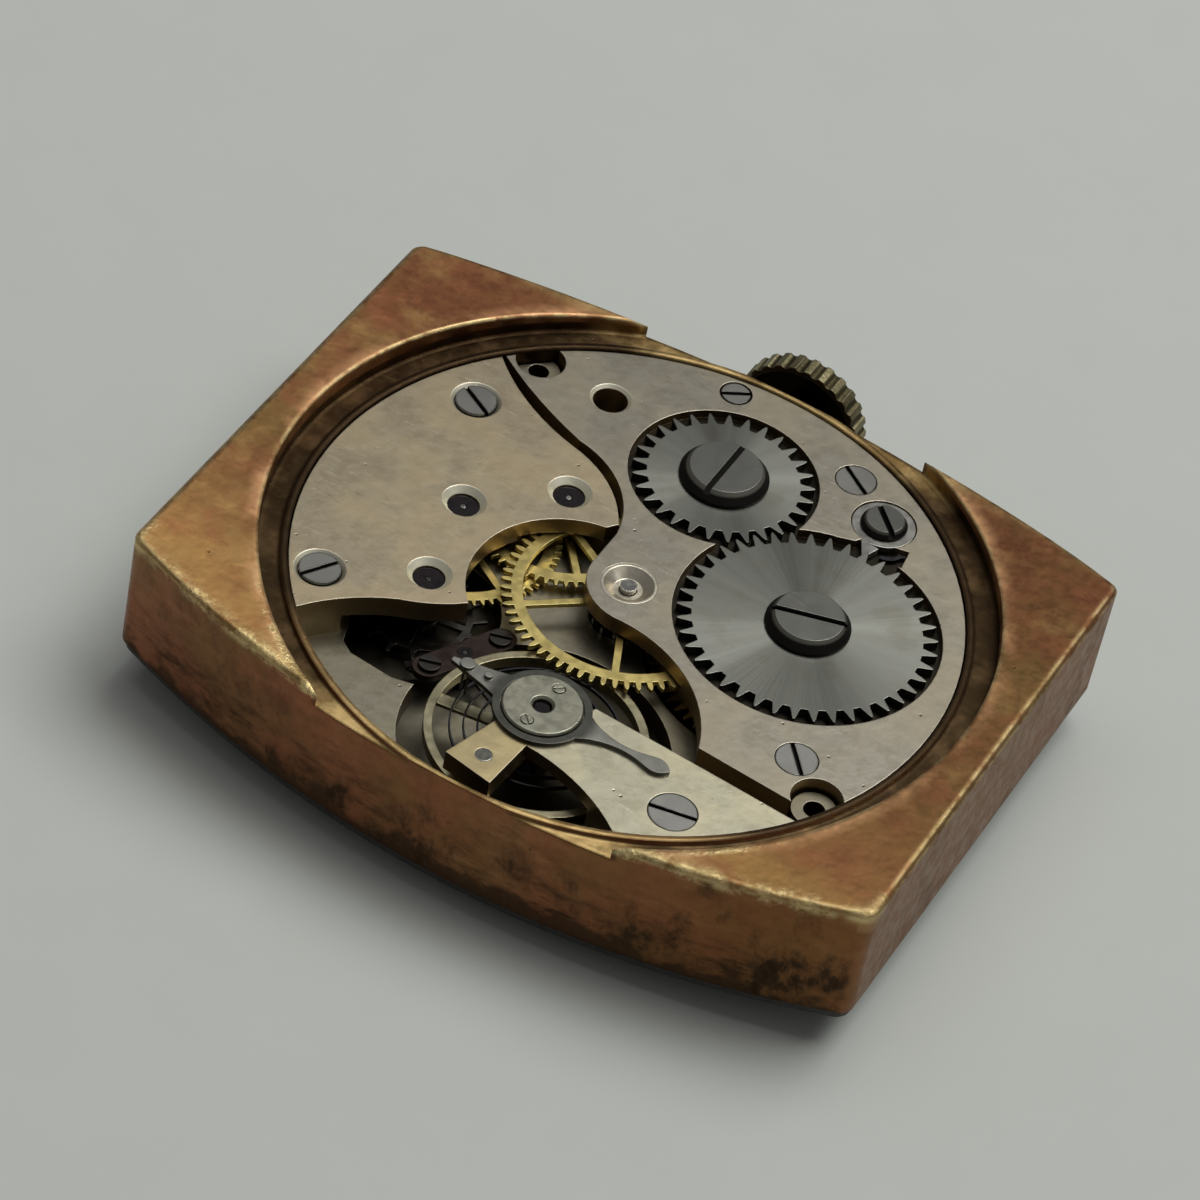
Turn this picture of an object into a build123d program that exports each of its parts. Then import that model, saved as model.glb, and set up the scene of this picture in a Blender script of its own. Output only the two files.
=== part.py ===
from build123d import *
import math
import os

os.makedirs("parts", exist_ok=True)

# Wrist watch movement of the lever type in its rectangular casing frame, in millimetres.
# Origin: on the centre wheel's axis, in the plane where the dial side of the main plate ends.
# +X points to 12 o'clock, +Y to the crown, +Z to the back of the watch, so the bridges are on top.

# Movement as a whole
movement_diameter = 23.69
plate_height = 2.3
bridge_thickness = 0.85
bridge_space = 0.85
overrun = 1.0

# Clearances
shaft_clearance = 0.03
wheel_clearance = 0.12
recess_clearance = 0.17
lever_clearance = 0.04
touch_clearance = 0.02

# Casing frame
frame_bore_clearance = 0.055
frame_end_wall = 2.49
frame_side_wall = 0.15
frame_side_bow = 2.4
frame_top_height = 4.47
frame_top_rise = 0.62
frame_bottom_drop = 0.4
frame_bottom_rise = 0.6
frame_ledge_width = 1.1
frame_ledge_height = 3.93
frame_lip_width = 0.25
frame_lip_rise = 0.17
frame_edge_bevel = 0.16
frame_corner_radius = 0.55
frame_stem_hole_radius = 0.8

# Places on the movement, as shares of its radius
third_share = (-0.3293, 0.2296)
fourth_share = (-0.5614, 0.0)
escape_share = (-0.4897, -0.3267)
barrel_share = (0.5057, 0.1748)
crown_wheel_share = (0.0101, 0.5766)
balance_share = (0.0464, -0.6079)
click_share = (0.4939, 0.7007)
setting_lever_share = (-0.1351, 0.9287)
yoke_share = (-0.2448, 0.726)
stud_share = (0.0, -0.8611)
index_pin_share = (-0.2068, -0.5994)
bridge_screw_shares = ((-0.7514, 0.401), (-0.7556, -0.5065), (0.3377, 0.8189), (0.7303, -0.325))
cock_screw_share = (0.5403, -0.726)
casing_hole_shares = ((0.8485, -0.4263), (-0.6838, 0.6796))
bare_hole_share = (-0.4306, 0.6669)
dial_foot_shares = ((0.878, -0.2111), (-0.8611, 0.2195))
cover_screw_shares = ((0.262, 0.862), (-0.285, 0.70))
pallet_pocket_shares = (
    (-0.65, -0.46),
    (-0.608, -0.587),
    (-0.566, -0.616),
    (-0.422, -0.629),
    (-0.30, -0.60),
    (-0.30, -0.40),
)

# Teeth
centre_teeth, third_pinion_teeth = 64, 8
third_teeth, fourth_pinion_teeth = 60, 8
fourth_teeth, escape_pinion_teeth = 70, 7
barrel_teeth, centre_pinion_teeth = 72, 14
escape_teeth = 15
train_spokes, escape_spokes = 5, 4
ratchet_teeth, crown_wheel_teeth = 41, 29
contrate_teeth, winding_teeth = 20, 16
cannon_teeth, minute_wheel_teeth = 12, 36
minute_pinion_teeth, hour_teeth = 10, 40
setting_teeth = 20

# Heights of the wheels above the dial seat
centre_wheel_height = 3.08
third_wheel_height = 2.64
fourth_wheel_height = 2.39
escape_wheel_height = 1.88
barrel_height = 1.1
barrel_depth = 1.86
balance_rim_height = 2.45
hairspring_height = 2.81
train_wheel_thickness = 0.17
escape_wheel_thickness = 0.13
winding_wheel_thickness = 0.32

# Winding works
ratchet_tip_radius = 4.6
crown_wheel_tip_radius = 3.29
ratchet_tooth_depth = 0.52
winding_screw_rise = 0.5
ratchet_screw_radius = 1.53
crown_screw_radius = 1.63
contrate_radius = 2.05
contrate_width = 0.43
contrate_floor_height = 3.03
crown_groove_floor_height = 2.97
crown_boss_radius = 2.5
crown_boss_height = 2.78
stem_height = 1.62
stem_radius = 0.42
stem_pilot_radius = 0.22
crown_travel = 0.7
winding_pinion_radius = 1.55
winding_pinion_width = 0.53
sliding_pinion_radius = 1.05
sliding_pinion_length = 1.5
crown_radius = 2.48
crown_gap = 1.48
crown_length = 1.0
crown_rim = 0.26
crown_flute_radius = 0.2
crown_flutes = 26

# Click
click_radius = 1.15
click_thickness = 0.28
click_screw_radius = 0.85
click_screw_rise = 0.3
click_spring_width = 0.16

# Barrel
barrel_tooth_band_height = 0.45
barrel_wall = 0.2
barrel_floor = 0.2
barrel_cover_thickness = 0.2
arbor_radius = 0.9
arbor_pivot_radius = 0.6
arbor_square = 0.84
mainspring_strip = 0.2
mainspring_pitch = 0.62
mainspring_half_turns = 13

# Train arbors
arbor_shaft_radius = 0.2
pivot_radius = 0.09
centre_arbor_radius = 0.42
centre_bushing_radius = 1.0
centre_hole_radius = 0.3
jewel_radius = 0.58
jewel_thickness = 0.27
jewel_depth = 0.28
jewel_bevel = 0.22
wheel_rim = 0.4
wheel_hub_radius = 0.75
wheel_spoke_width = 0.26

# Escapement
escape_tip_radius = 2.3
escape_tooth_depth = 0.5
impulse_radius = 0.75
impulse_pin_radius = 0.09
fork_thickness = 0.14
fork_arm_width = 0.22
fork_slot_depth = 0.4
pallet_stone_width = 0.3
pallet_stone_length = 0.75
pallet_cock_thickness = 0.28
pallet_cock_reach = 1.85
roller_radius = 0.98
roller_thickness = 0.14
pocket_floor_height = 1.3
escape_pocket_radius = 2.75
balance_pocket_radius = 4.75

# Balance
balance_radius = 3.88
balance_rim_width = 0.3
balance_rim_depth = 0.42
balance_arm_width = 0.5
balance_arm_thickness = 0.15
staff_radius = 0.25
collet_radius = 0.54
hairspring_radius = 3.0
hairspring_strip = 0.06
hairspring_depth = 0.14
hairspring_pitch = 0.48
hairspring_half_turns = 11
cock_arm_thickness = 0.55
cock_arm_radius = 1.6
cock_space_radius = 4.15
stud_block_thickness = 0.8
stud_radius = 0.3
cap_plate_radius = 1.42
cap_hole_radius = 0.33
cap_plate_thickness = 0.3
cap_screw_radius = 0.21
index_thickness = 0.18
index_ring_radius = 1.72
index_reach = 4.95
index_arm_width = 0.42
curb_pin_radius = 0.05

# Screws
screw_head_radius = 0.74
bare_hole_radius = 0.64
bare_hole_bevel = 0.12
screw_head_depth = 0.3
screw_shank_radius = 0.35
screw_shank_length = 1.3
screw_slot_width = 0.15
screw_slot_depth = 0.16
screw_sink_radius = 0.92
cock_screw_radius = 0.84
small_screw_radius = 0.4
small_screw_head_depth = 0.14
casing_hole_radius = 0.38
casing_boss_radius = 0.8
casing_boss_height = 3.45
notch_radius = 0.92

# Dial side
motion_height = 0.22
motion_wheel_thickness = 0.26
motion_pocket_depth = 0.62
minute_place_radius = 3.1
hour_wheel_height = -0.06
hour_wheel_thickness = 0.2
cannon_radius = 0.42
hour_pipe_radius = 0.62
pocket_half_width_share, pocket_depth_share, pocket_place_share = 0.33, 0.42, 0.72
lever_room_share = 0.055
lever_height = 0.3
lever_boss_radius = 0.55
lever_arm_width = 0.48
lever_thickness = 0.2
setting_pin_radius = 0.17
yoke_finger_radius = 0.14
cover_thickness = 0.2
dial_thickness = 0.35
dial_inset = 0.12
dial_foot_radius = 0.4
dial_foot_length = 1.1
hand_thickness = 0.1
hand_gap = 0.12
hour_hand_length = 5.6
minute_hand_length = 8.6
seconds_hand_length = 2.3
hand_width = 0.62
hour_hand_angle = 304.0
minute_hand_angle = 51.0
seconds_hand_angle = 222.0

# How far the screws and spokes stand turned, in degrees
bridge_screw_turns = (-30, 60, -35, -50)
cock_screw_turn = 12
setting_lever_screw_turn = 35
ratchet_screw_turn = 18
crown_wheel_screw_turn = 90
click_screw_turn = -45
pallet_screw_turn = 20
cover_screw_turn = 50
cap_screw_turn = 85
centre_spoke_turn, third_spoke_turn, fourth_spoke_turn, escape_spoke_turn = 5, 20, 40, 10
pallet_half_angle, pallet_stone_turn = 30, 12
winding_pinion_phase = -90
balance_arm_turn = 8

# Worked out from the above
movement_radius = movement_diameter / 2
frame_bore_radius = movement_radius + frame_bore_clearance
frame_recess_radius = frame_bore_radius + frame_ledge_width
frame_lip_radius = frame_bore_radius + frame_lip_width
frame_lip_height = frame_ledge_height + frame_lip_rise
frame_half_length = frame_bore_radius + frame_end_wall
frame_middle_half_width = frame_bore_radius + frame_side_wall
frame_end_half_width = frame_middle_half_width - frame_side_bow
crown_mouth_place = frame_middle_half_width + crown_gap
bridge_floor = plate_height + bridge_space
bridge_top = bridge_floor + bridge_thickness


def spot(share):
    """A place on the movement from its shares of the movement's radius."""
    return (share[0] * movement_radius, share[1] * movement_radius)


def rim_point(angle):
    """A place on the movement's edge."""
    turn = math.radians(angle)
    return (movement_radius * math.cos(turn), movement_radius * math.sin(turn))


def gap_between(one, other):
    """The distance between two places."""
    return math.hypot(other[0] - one[0], other[1] - one[1])


def bearing(start, end):
    """The direction from one place to another, in degrees."""
    return math.degrees(math.atan2(end[1] - start[1], end[0] - start[0]))


def polar(radius, angle, start=(0, 0)):
    """A place at a distance and a direction from another."""
    turn = math.radians(angle)
    return (start[0] + radius * math.cos(turn), start[1] + radius * math.sin(turn))


def level(height, place=(0, 0), turn=0):
    """A sketch plane parallel to the plate, over a place and turned about the vertical."""
    way = math.radians(turn)
    return Plane(
        origin=(place[0], place[1], height),
        x_dir=(math.cos(way), math.sin(way), 0),
        z_dir=(0, 0, 1),
    )


def across_stem(place):
    """A sketch plane square to the winding stem."""
    return Plane(origin=(0, place, stem_height), x_dir=(1, 0, 0), z_dir=(0, 1, 0))


def toothed(teeth, flank, phase=0.0):
    """Points round a toothed wheel. The flank runs from root to tip, each point a radius and
    a share of the tooth's pitch angle, and the tooth's other side mirrors it."""
    sides = [(radius, -share) for radius, share in flank]
    sides += [(radius, share) for radius, share in reversed(flank) if share]
    step = math.tau / teeth
    start = math.radians(phase)
    return [
        polar(radius, math.degrees(start + (count + share) * step))
        for count in range(teeth)
        for radius, share in sides
    ]


def train_flank(pitch_radius, teeth):
    """A wheel tooth of a train: slender, with a rounded tip."""
    module = 2 * pitch_radius / teeth
    root_share, pitch_share, shoulder_share, crest_share = 0.25, 0.22, 0.15, 0.05
    depth_share, rise_share, shoulder_rise_share = 1.55, 1.25, 0.75
    return [
        (pitch_radius - depth_share * module, root_share),
        (pitch_radius, pitch_share),
        (pitch_radius + shoulder_rise_share * module, shoulder_share),
        (pitch_radius + rise_share * module, crest_share),
    ]


def plain_flank(pitch_radius, teeth):
    """A wheel tooth with straight sides."""
    module = 2 * pitch_radius / teeth
    root_share, crest_share = 0.27, 0.09
    depth_share, rise_share = 1.25, 1.0
    return [
        (pitch_radius - depth_share * module, root_share),
        (pitch_radius + rise_share * module, crest_share),
    ]


def leaf_flank(pitch_radius, teeth):
    """A pinion leaf."""
    module = 2 * pitch_radius / teeth
    root_share, crest_share = 0.2, 0.1
    depth_share, rise_share = 1.4, 0.8
    return [
        (pitch_radius - depth_share * module, root_share),
        (pitch_radius + rise_share * module, crest_share),
    ]


def in_mesh(teeth, place, other_teeth, other_place, other_phase):
    """The phase that puts a gap of one wheel on the other's tooth along their centre line."""
    line = bearing(other_place, place)
    half_turn, half_pitch = 180, 180 / teeth
    return line + half_turn + half_pitch - (other_phase - line) * other_teeth / teeth


def wheel_windows(rim_radius, hub_radius, spokes, spoke_width, turn=0.0):
    """The openings between a wheel's spokes."""
    with BuildSketch() as windows:
        Circle(rim_radius)
        Circle(hub_radius, mode=Mode.SUBTRACT)
        with PolarLocations((rim_radius + hub_radius) / 2, spokes, start_angle=turn):
            Rectangle(rim_radius, spoke_width, mode=Mode.SUBTRACT)
    return windows.sketch


def slot_in(radius, turn):
    """The plan of a screw head's slot."""
    with BuildSketch() as slot:
        Rectangle(2 * radius + screw_slot_width, screw_slot_width, rotation=turn)
    return slot.sketch


def spiral_strip(first_radius, pitch, half_turns, width, last_sweep=180.0):
    """The plan of a wound strip: half circles whose centre hops by half the pitch."""
    hop = pitch / 2
    arcs = []
    for count in range(half_turns):
        centre = (hop * (count % 2), 0)
        sweep = last_sweep if count == half_turns - 1 else 180
        arcs.append((centre, first_radius + hop * count, 180 * (count % 2), sweep))
    with BuildSketch() as strip:
        with BuildLine():
            for centre, radius, start, sweep in arcs:
                CenterArc(centre, radius + width / 2, start, sweep)
            for centre, radius, start, sweep in arcs:
                CenterArc(centre, radius - width / 2, start, sweep)
            centre, radius, start, sweep = arcs[0]
            Line(polar(radius - width / 2, start, centre), polar(radius + width / 2, start, centre))
            centre, radius, start, sweep = arcs[-1]
            end = start + sweep
            Line(polar(radius - width / 2, end, centre), polar(radius + width / 2, end, centre))
        make_face()
    return strip.sketch


def spiral_gap(pitch, width):
    """The least gap between a wound strip's turns, measured on points of neighbouring turns."""
    hop = pitch / 2
    least = pitch
    for angle in range(0, 180, 5):
        inner = polar(1, angle)
        for start in (0, hop):
            radius = 2 * pitch
            here = (start + radius * inner[0], radius * inner[1])
            outer_radius = radius + pitch
            least = min(least, outer_radius - math.hypot(here[0] - start, here[1]) - width)
    return least


third_place = spot(third_share)
fourth_place = spot(fourth_share)
escape_place = spot(escape_share)
barrel_place = spot(barrel_share)
crown_wheel_place = spot(crown_wheel_share)
balance_place = spot(balance_share)
click_place = spot(click_share)
setting_lever_place = spot(setting_lever_share)
yoke_place = spot(yoke_share)
stud_place = spot(stud_share)
index_pin_place = spot(index_pin_share)
cock_screw_place = spot(cock_screw_share)
bare_hole_place = spot(bare_hole_share)
centre_place = (0, 0)

# Pitch radii
centre_pitch = gap_between(centre_place, third_place) * centre_teeth / (centre_teeth + third_pinion_teeth)
third_pinion_pitch = centre_pitch * third_pinion_teeth / centre_teeth
third_pitch = gap_between(third_place, fourth_place) * third_teeth / (third_teeth + fourth_pinion_teeth)
fourth_pinion_pitch = third_pitch * fourth_pinion_teeth / third_teeth
fourth_pitch = gap_between(fourth_place, escape_place) * fourth_teeth / (fourth_teeth + escape_pinion_teeth)
escape_pinion_pitch = fourth_pitch * escape_pinion_teeth / fourth_teeth
barrel_pitch = gap_between(centre_place, barrel_place) * barrel_teeth / (barrel_teeth + centre_pinion_teeth)
centre_pinion_pitch = barrel_pitch * centre_pinion_teeth / barrel_teeth

# Phases that put the teeth in mesh, worked outwards from the centre wheel and the barrel
centre_phase = 1.2
third_pinion_phase = in_mesh(third_pinion_teeth, third_place, centre_teeth, centre_place, centre_phase)
third_phase = 0.0
fourth_pinion_phase = in_mesh(fourth_pinion_teeth, fourth_place, third_teeth, third_place, third_phase)
fourth_phase = 0.0
escape_pinion_phase = in_mesh(escape_pinion_teeth, escape_place, fourth_teeth, fourth_place, fourth_phase)
barrel_phase = 0.0
centre_pinion_phase = in_mesh(centre_pinion_teeth, centre_place, barrel_teeth, barrel_place, barrel_phase)
ratchet_phase = 1.7
crown_wheel_phase = in_mesh(
    crown_wheel_teeth, crown_wheel_place, ratchet_teeth, barrel_place, ratchet_phase
)

# Casing frame: a curved rectangular block with bowed sides, hollow under the case back,
# bored for the movement, with a round recess that leaves a thin lip at the bore
frame_end_top = frame_top_height + frame_top_rise
frame_bottom_middle = -frame_bottom_drop
frame_end_bottom = frame_bottom_middle + frame_bottom_rise


def frame_plan(inset):
    """The frame's outline seen from above, drawn in by an inset."""
    half_length = frame_half_length - inset
    half_end = frame_end_half_width - inset
    half_middle = frame_middle_half_width - inset
    with BuildSketch() as plan:
        with BuildLine():
            ThreePointArc((-half_length, half_end), (0, half_middle), (half_length, half_end))
            Line((half_length, half_end), (half_length, -half_end))
            ThreePointArc((half_length, -half_end), (0, -half_middle), (-half_length, -half_end))
            Line((-half_length, -half_end), (-half_length, half_end))
        make_face()
        fillet(plan.vertices(), radius=frame_corner_radius)
    return plan.sketch


with BuildPart() as casing_frame:
    with BuildSketch(Plane.XZ):
        with BuildLine():
            ThreePointArc(
                (-frame_half_length, frame_end_top),
                (0, frame_top_height),
                (frame_half_length, frame_end_top),
            )
            Line((frame_half_length, frame_end_top), (frame_half_length, frame_end_bottom))
            ThreePointArc(
                (frame_half_length, frame_end_bottom),
                (0, frame_bottom_middle),
                (-frame_half_length, frame_end_bottom),
            )
            Line((-frame_half_length, frame_end_bottom), (-frame_half_length, frame_end_top))
        make_face()
    extrude(amount=frame_middle_half_width, both=True)
    with BuildSketch(level(frame_bottom_middle - overrun)):
        add(frame_plan(0))
    extrude(amount=frame_end_top + frame_bottom_drop + 2 * overrun, mode=Mode.INTERSECT)
    top_edges = casing_frame.faces().sort_by(Axis.Z)[-1].edges()
    chamfer(top_edges, length=frame_edge_bevel)
    with BuildSketch(level(frame_bottom_middle - overrun)):
        Circle(frame_bore_radius)
    extrude(amount=frame_end_top + frame_bottom_drop + 2 * overrun, mode=Mode.SUBTRACT)
    with BuildSketch(level(frame_ledge_height)):
        Circle(frame_recess_radius)
        Circle(frame_lip_radius, mode=Mode.SUBTRACT)
    extrude(amount=frame_end_top, mode=Mode.SUBTRACT)
    with BuildSketch(level(frame_lip_height)):
        Circle(frame_lip_radius)
    extrude(amount=frame_end_top, mode=Mode.SUBTRACT)
    with BuildSketch(across_stem(0)):
        Circle(frame_stem_hole_radius)
    extrude(amount=2 * frame_middle_half_width, mode=Mode.SUBTRACT)
casing_frame.part.label = "casing_frame"
export_step(casing_frame.part, "parts/casing_frame.step")

# Places of the escapement
escape_line = bearing(escape_place, balance_place)
pallet_distance = escape_tip_radius / math.cos(math.radians(pallet_half_angle))
pallet_place = polar(pallet_distance, escape_line, escape_place)
fork_length = gap_between(escape_place, balance_place) - pallet_distance - impulse_radius

# Places and radii of the motion works
minute_wheel_pitch = minute_place_radius * minute_wheel_teeth / (minute_wheel_teeth + cannon_teeth)
cannon_pitch = minute_place_radius - minute_wheel_pitch
hour_pitch = minute_place_radius * hour_teeth / (hour_teeth + minute_pinion_teeth)
minute_pinion_pitch = minute_place_radius - hour_pitch
setting_pitch = cannon_pitch * setting_teeth / cannon_teeth
contrate_middle = contrate_radius - contrate_width / 2
winding_pinion_place = crown_wheel_place[1] + contrate_middle - winding_pinion_width / 2
pinion_claw_depth = winding_pinion_width / 3
sliding_pinion_place = winding_pinion_place - pinion_claw_depth - sliding_pinion_length
setting_reach = 0.75 * crown_travel
setting_tip_share = 1.1
setting_place = (0, sliding_pinion_place - setting_reach - setting_tip_share * setting_pitch)
setting_gap = minute_wheel_pitch + setting_pitch
minute_along = (minute_place_radius**2 - setting_gap**2 + setting_place[1] ** 2) / (2 * setting_place[1])
minute_place = (math.sqrt(minute_place_radius**2 - minute_along**2), minute_along)

# Keyless works: slot widths in the plate
sliding_slot_half_width = sliding_pinion_radius + wheel_clearance
winding_slot_half_width = winding_pinion_radius + wheel_clearance
keyless_inner_end = sliding_pinion_place - crown_travel - wheel_clearance
winding_slot_inner_end = winding_pinion_place - wheel_clearance
winding_slot_outer_end = winding_pinion_place + winding_pinion_width + 2 * wheel_clearance
setting_pin_place = (0, setting_lever_place[1] - crown_travel / 2 + lever_clearance)
stem_groove_half_width = setting_pin_radius + 2 * lever_clearance

# Barrel
barrel_root = barrel_pitch - 2.5 * barrel_pitch / barrel_teeth
barrel_inner = barrel_root - barrel_wall
barrel_top = barrel_height + barrel_depth
band_floor = barrel_top - 2.2 * barrel_tooth_band_height
cover_floor = barrel_top - barrel_cover_thickness


def lever_arm(start, end, width):
    """A straight lever arm with round ends."""
    with BuildSketch() as arm:
        with BuildLine():
            Line(start, end)
        trace(line_width=width)
        with Locations(start, end):
            Circle(width / 2)
    return arm.sketch


def lever_pocket(inset):
    """The plan of the dial side pocket that holds the keyless levers, drawn in by an inset."""
    half_width = pocket_half_width_share * movement_radius - inset
    depth = pocket_depth_share * movement_radius - 2 * inset
    lever_room = lever_room_share * movement_radius - inset
    arm_room = lever_arm_width + 2 * shaft_clearance - 2 * inset
    pulled_pin_place = (0, setting_pin_place[1] + crown_travel)
    with BuildSketch() as plan:
        with Locations((0, pocket_place_share * movement_radius)):
            Rectangle(2 * half_width, depth)
        add(lever_arm(setting_lever_place, pulled_pin_place, arm_room))
        with Locations(setting_lever_place):
            Circle(lever_room)
    return plan.sketch


# Main plate
with BuildPart() as main_plate:
    with BuildSketch():
        Circle(movement_radius)
    extrude(amount=plate_height)
    with BuildSketch(level(plate_height)):
        with Locations([spot(share) for share in casing_hole_shares]):
            Circle(casing_boss_radius)
        with BuildSketch(mode=Mode.PRIVATE) as plate_disc:
            Circle(movement_radius)
        add(plate_disc.sketch, mode=Mode.INTERSECT)
    extrude(amount=casing_boss_height - plate_height)
    # pockets on the bridge side: barrel, then escape wheel and balance
    barrel_pocket_floor = barrel_height - wheel_clearance
    with BuildSketch(level(barrel_pocket_floor, barrel_place)):
        Circle(barrel_pitch + recess_clearance + wheel_clearance)
    extrude(amount=casing_boss_height, mode=Mode.SUBTRACT)
    with BuildSketch(level(pocket_floor_height)):
        with Locations(escape_place):
            Circle(escape_pocket_radius)
        with Locations(balance_place):
            Circle(balance_pocket_radius)
        with Locations(pallet_place):
            Circle(pallet_cock_reach + recess_clearance)
        Polygon(*[spot(share) for share in pallet_pocket_shares])
    extrude(amount=plate_height, mode=Mode.SUBTRACT)
    centre_pinion_tip = centre_pinion_pitch + 2 * centre_pinion_pitch / centre_pinion_teeth
    with BuildSketch(level(band_floor - 2 * wheel_clearance)):
        Circle(centre_pinion_tip)
    extrude(amount=plate_height, mode=Mode.SUBTRACT)
    # keyless slot, stem hole and the setting pin's way in
    with BuildSketch():
        with BuildLine():
            Polyline(
                (-sliding_slot_half_width, keyless_inner_end),
                (sliding_slot_half_width, keyless_inner_end),
                (sliding_slot_half_width, winding_slot_inner_end),
                (winding_slot_half_width, winding_slot_inner_end),
                (winding_slot_half_width, winding_slot_outer_end),
                (-winding_slot_half_width, winding_slot_outer_end),
                (-winding_slot_half_width, winding_slot_inner_end),
                (-sliding_slot_half_width, winding_slot_inner_end),
                close=True,
            )
        make_face()
    extrude(amount=plate_height + overrun, mode=Mode.SUBTRACT)
    with BuildSketch(across_stem(keyless_inner_end)):
        Circle(stem_radius + shaft_clearance)
    extrude(amount=movement_radius, mode=Mode.SUBTRACT)
    with BuildSketch(across_stem(setting_place[1])):
        Circle(stem_pilot_radius + shaft_clearance)
    extrude(amount=keyless_inner_end, mode=Mode.SUBTRACT)
    with BuildSketch():
        with Locations((0, setting_pin_place[1] + crown_travel / 2)):
            SlotOverall(
                crown_travel + 2 * setting_pin_radius + 4 * lever_clearance,
                2 * stem_radius,
                rotation=90,
            )
    extrude(amount=stem_height, mode=Mode.SUBTRACT)
    # pocket on the dial side for the motion works and the levers
    hour_tip = hour_pitch + 2 * hour_pitch / hour_teeth
    with BuildSketch():
        Circle(hour_tip + wheel_clearance)
        with Locations(minute_place):
            Circle(minute_wheel_pitch + 2 * wheel_clearance)
        with Locations(setting_place):
            Circle(setting_pitch + 2 * wheel_clearance)
        add(lever_pocket(0))
    extrude(amount=motion_pocket_depth, mode=Mode.SUBTRACT)
    # holes for arbors, jewels, screws, stems and feet
    with BuildSketch(level(-overrun)):
        Circle(centre_arbor_radius + shaft_clearance)
        with Locations(barrel_place):
            Circle(arbor_pivot_radius + shaft_clearance)
        with Locations(escape_place, pallet_place, balance_place):
            Circle(jewel_radius)
        with Locations(third_place, fourth_place):
            Circle(jewel_radius)
        with Locations([spot(share) for share in casing_hole_shares]):
            Circle(casing_hole_radius)
        with Locations([spot(share) for share in bridge_screw_shares]):
            Circle(screw_shank_radius)
        with Locations(cock_screw_place):
            Circle(screw_shank_radius)
        with Locations(setting_lever_place):
            Circle(screw_shank_radius + shaft_clearance)
        with Locations([spot(share) for share in dial_foot_shares]):
            Circle(dial_foot_radius + shaft_clearance)
    extrude(amount=casing_boss_height + 2 * overrun, mode=Mode.SUBTRACT)
main_plate.part.label = "main_plate"
export_step(main_plate.part, "parts/main_plate.step")


# Barrel bridge: edge along the train bridge, round the centre arbor, past the balance
barrel_edge_start_angle, barrel_edge_end_angle = 140.96, -29.1
groove_shares = ((-0.591, 0.5192), (-0.4137, 0.4432), (-0.2322, 0.3546), (-0.1309, 0.1604))
nose_shares = ((-0.1309, 0.0338), (-0.0929, -0.0886), (0.0253, -0.1503))
wheel_view_shares = ((0.2955, -0.2195), (0.4812, -0.4601))


def barrel_bridge_plan():
    """The barrel bridge seen from above."""
    start, end = rim_point(barrel_edge_start_angle), rim_point(barrel_edge_end_angle)
    far = rim_point((barrel_edge_start_angle + barrel_edge_end_angle) / 2)
    groove = [spot(share) for share in groove_shares]
    nose = [spot(share) for share in nose_shares]
    view = [spot(share) for share in wheel_view_shares]
    with BuildSketch() as plan:
        with BuildLine():
            ThreePointArc(start, groove[0], groove[1])
            ThreePointArc(groove[1], groove[2], groove[3])
            Line(groove[3], nose[0])
            ThreePointArc(nose[0], nose[1], nose[2])
            ThreePointArc(nose[2], view[0], view[1])
            Line(view[1], end)
            ThreePointArc(end, far, start)
        make_face()
        with Locations([spot(share) for share in casing_hole_shares]):
            Circle(notch_radius, mode=Mode.SUBTRACT)
    return plan.sketch


click_cut_shares = ((0.3208, 0.5319), (0.4559, 0.5825), (0.4725, 0.61), (0.61, 0.6416), (0.6205, 0.5656))
barrel_foot_share = (0.7851, -0.3883)
barrel_foot_radius = 1.75
rim_foot_inner_share = 0.835
rim_foot_angles = (50, 90, 128)
ratchet_recess_floor = bridge_top - winding_wheel_thickness - lever_clearance
centre_wheel_room = centre_wheel_height + train_wheel_thickness + 0.8 * wheel_clearance
centre_tip = centre_pitch + 2.5 * centre_pitch / centre_teeth

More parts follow.
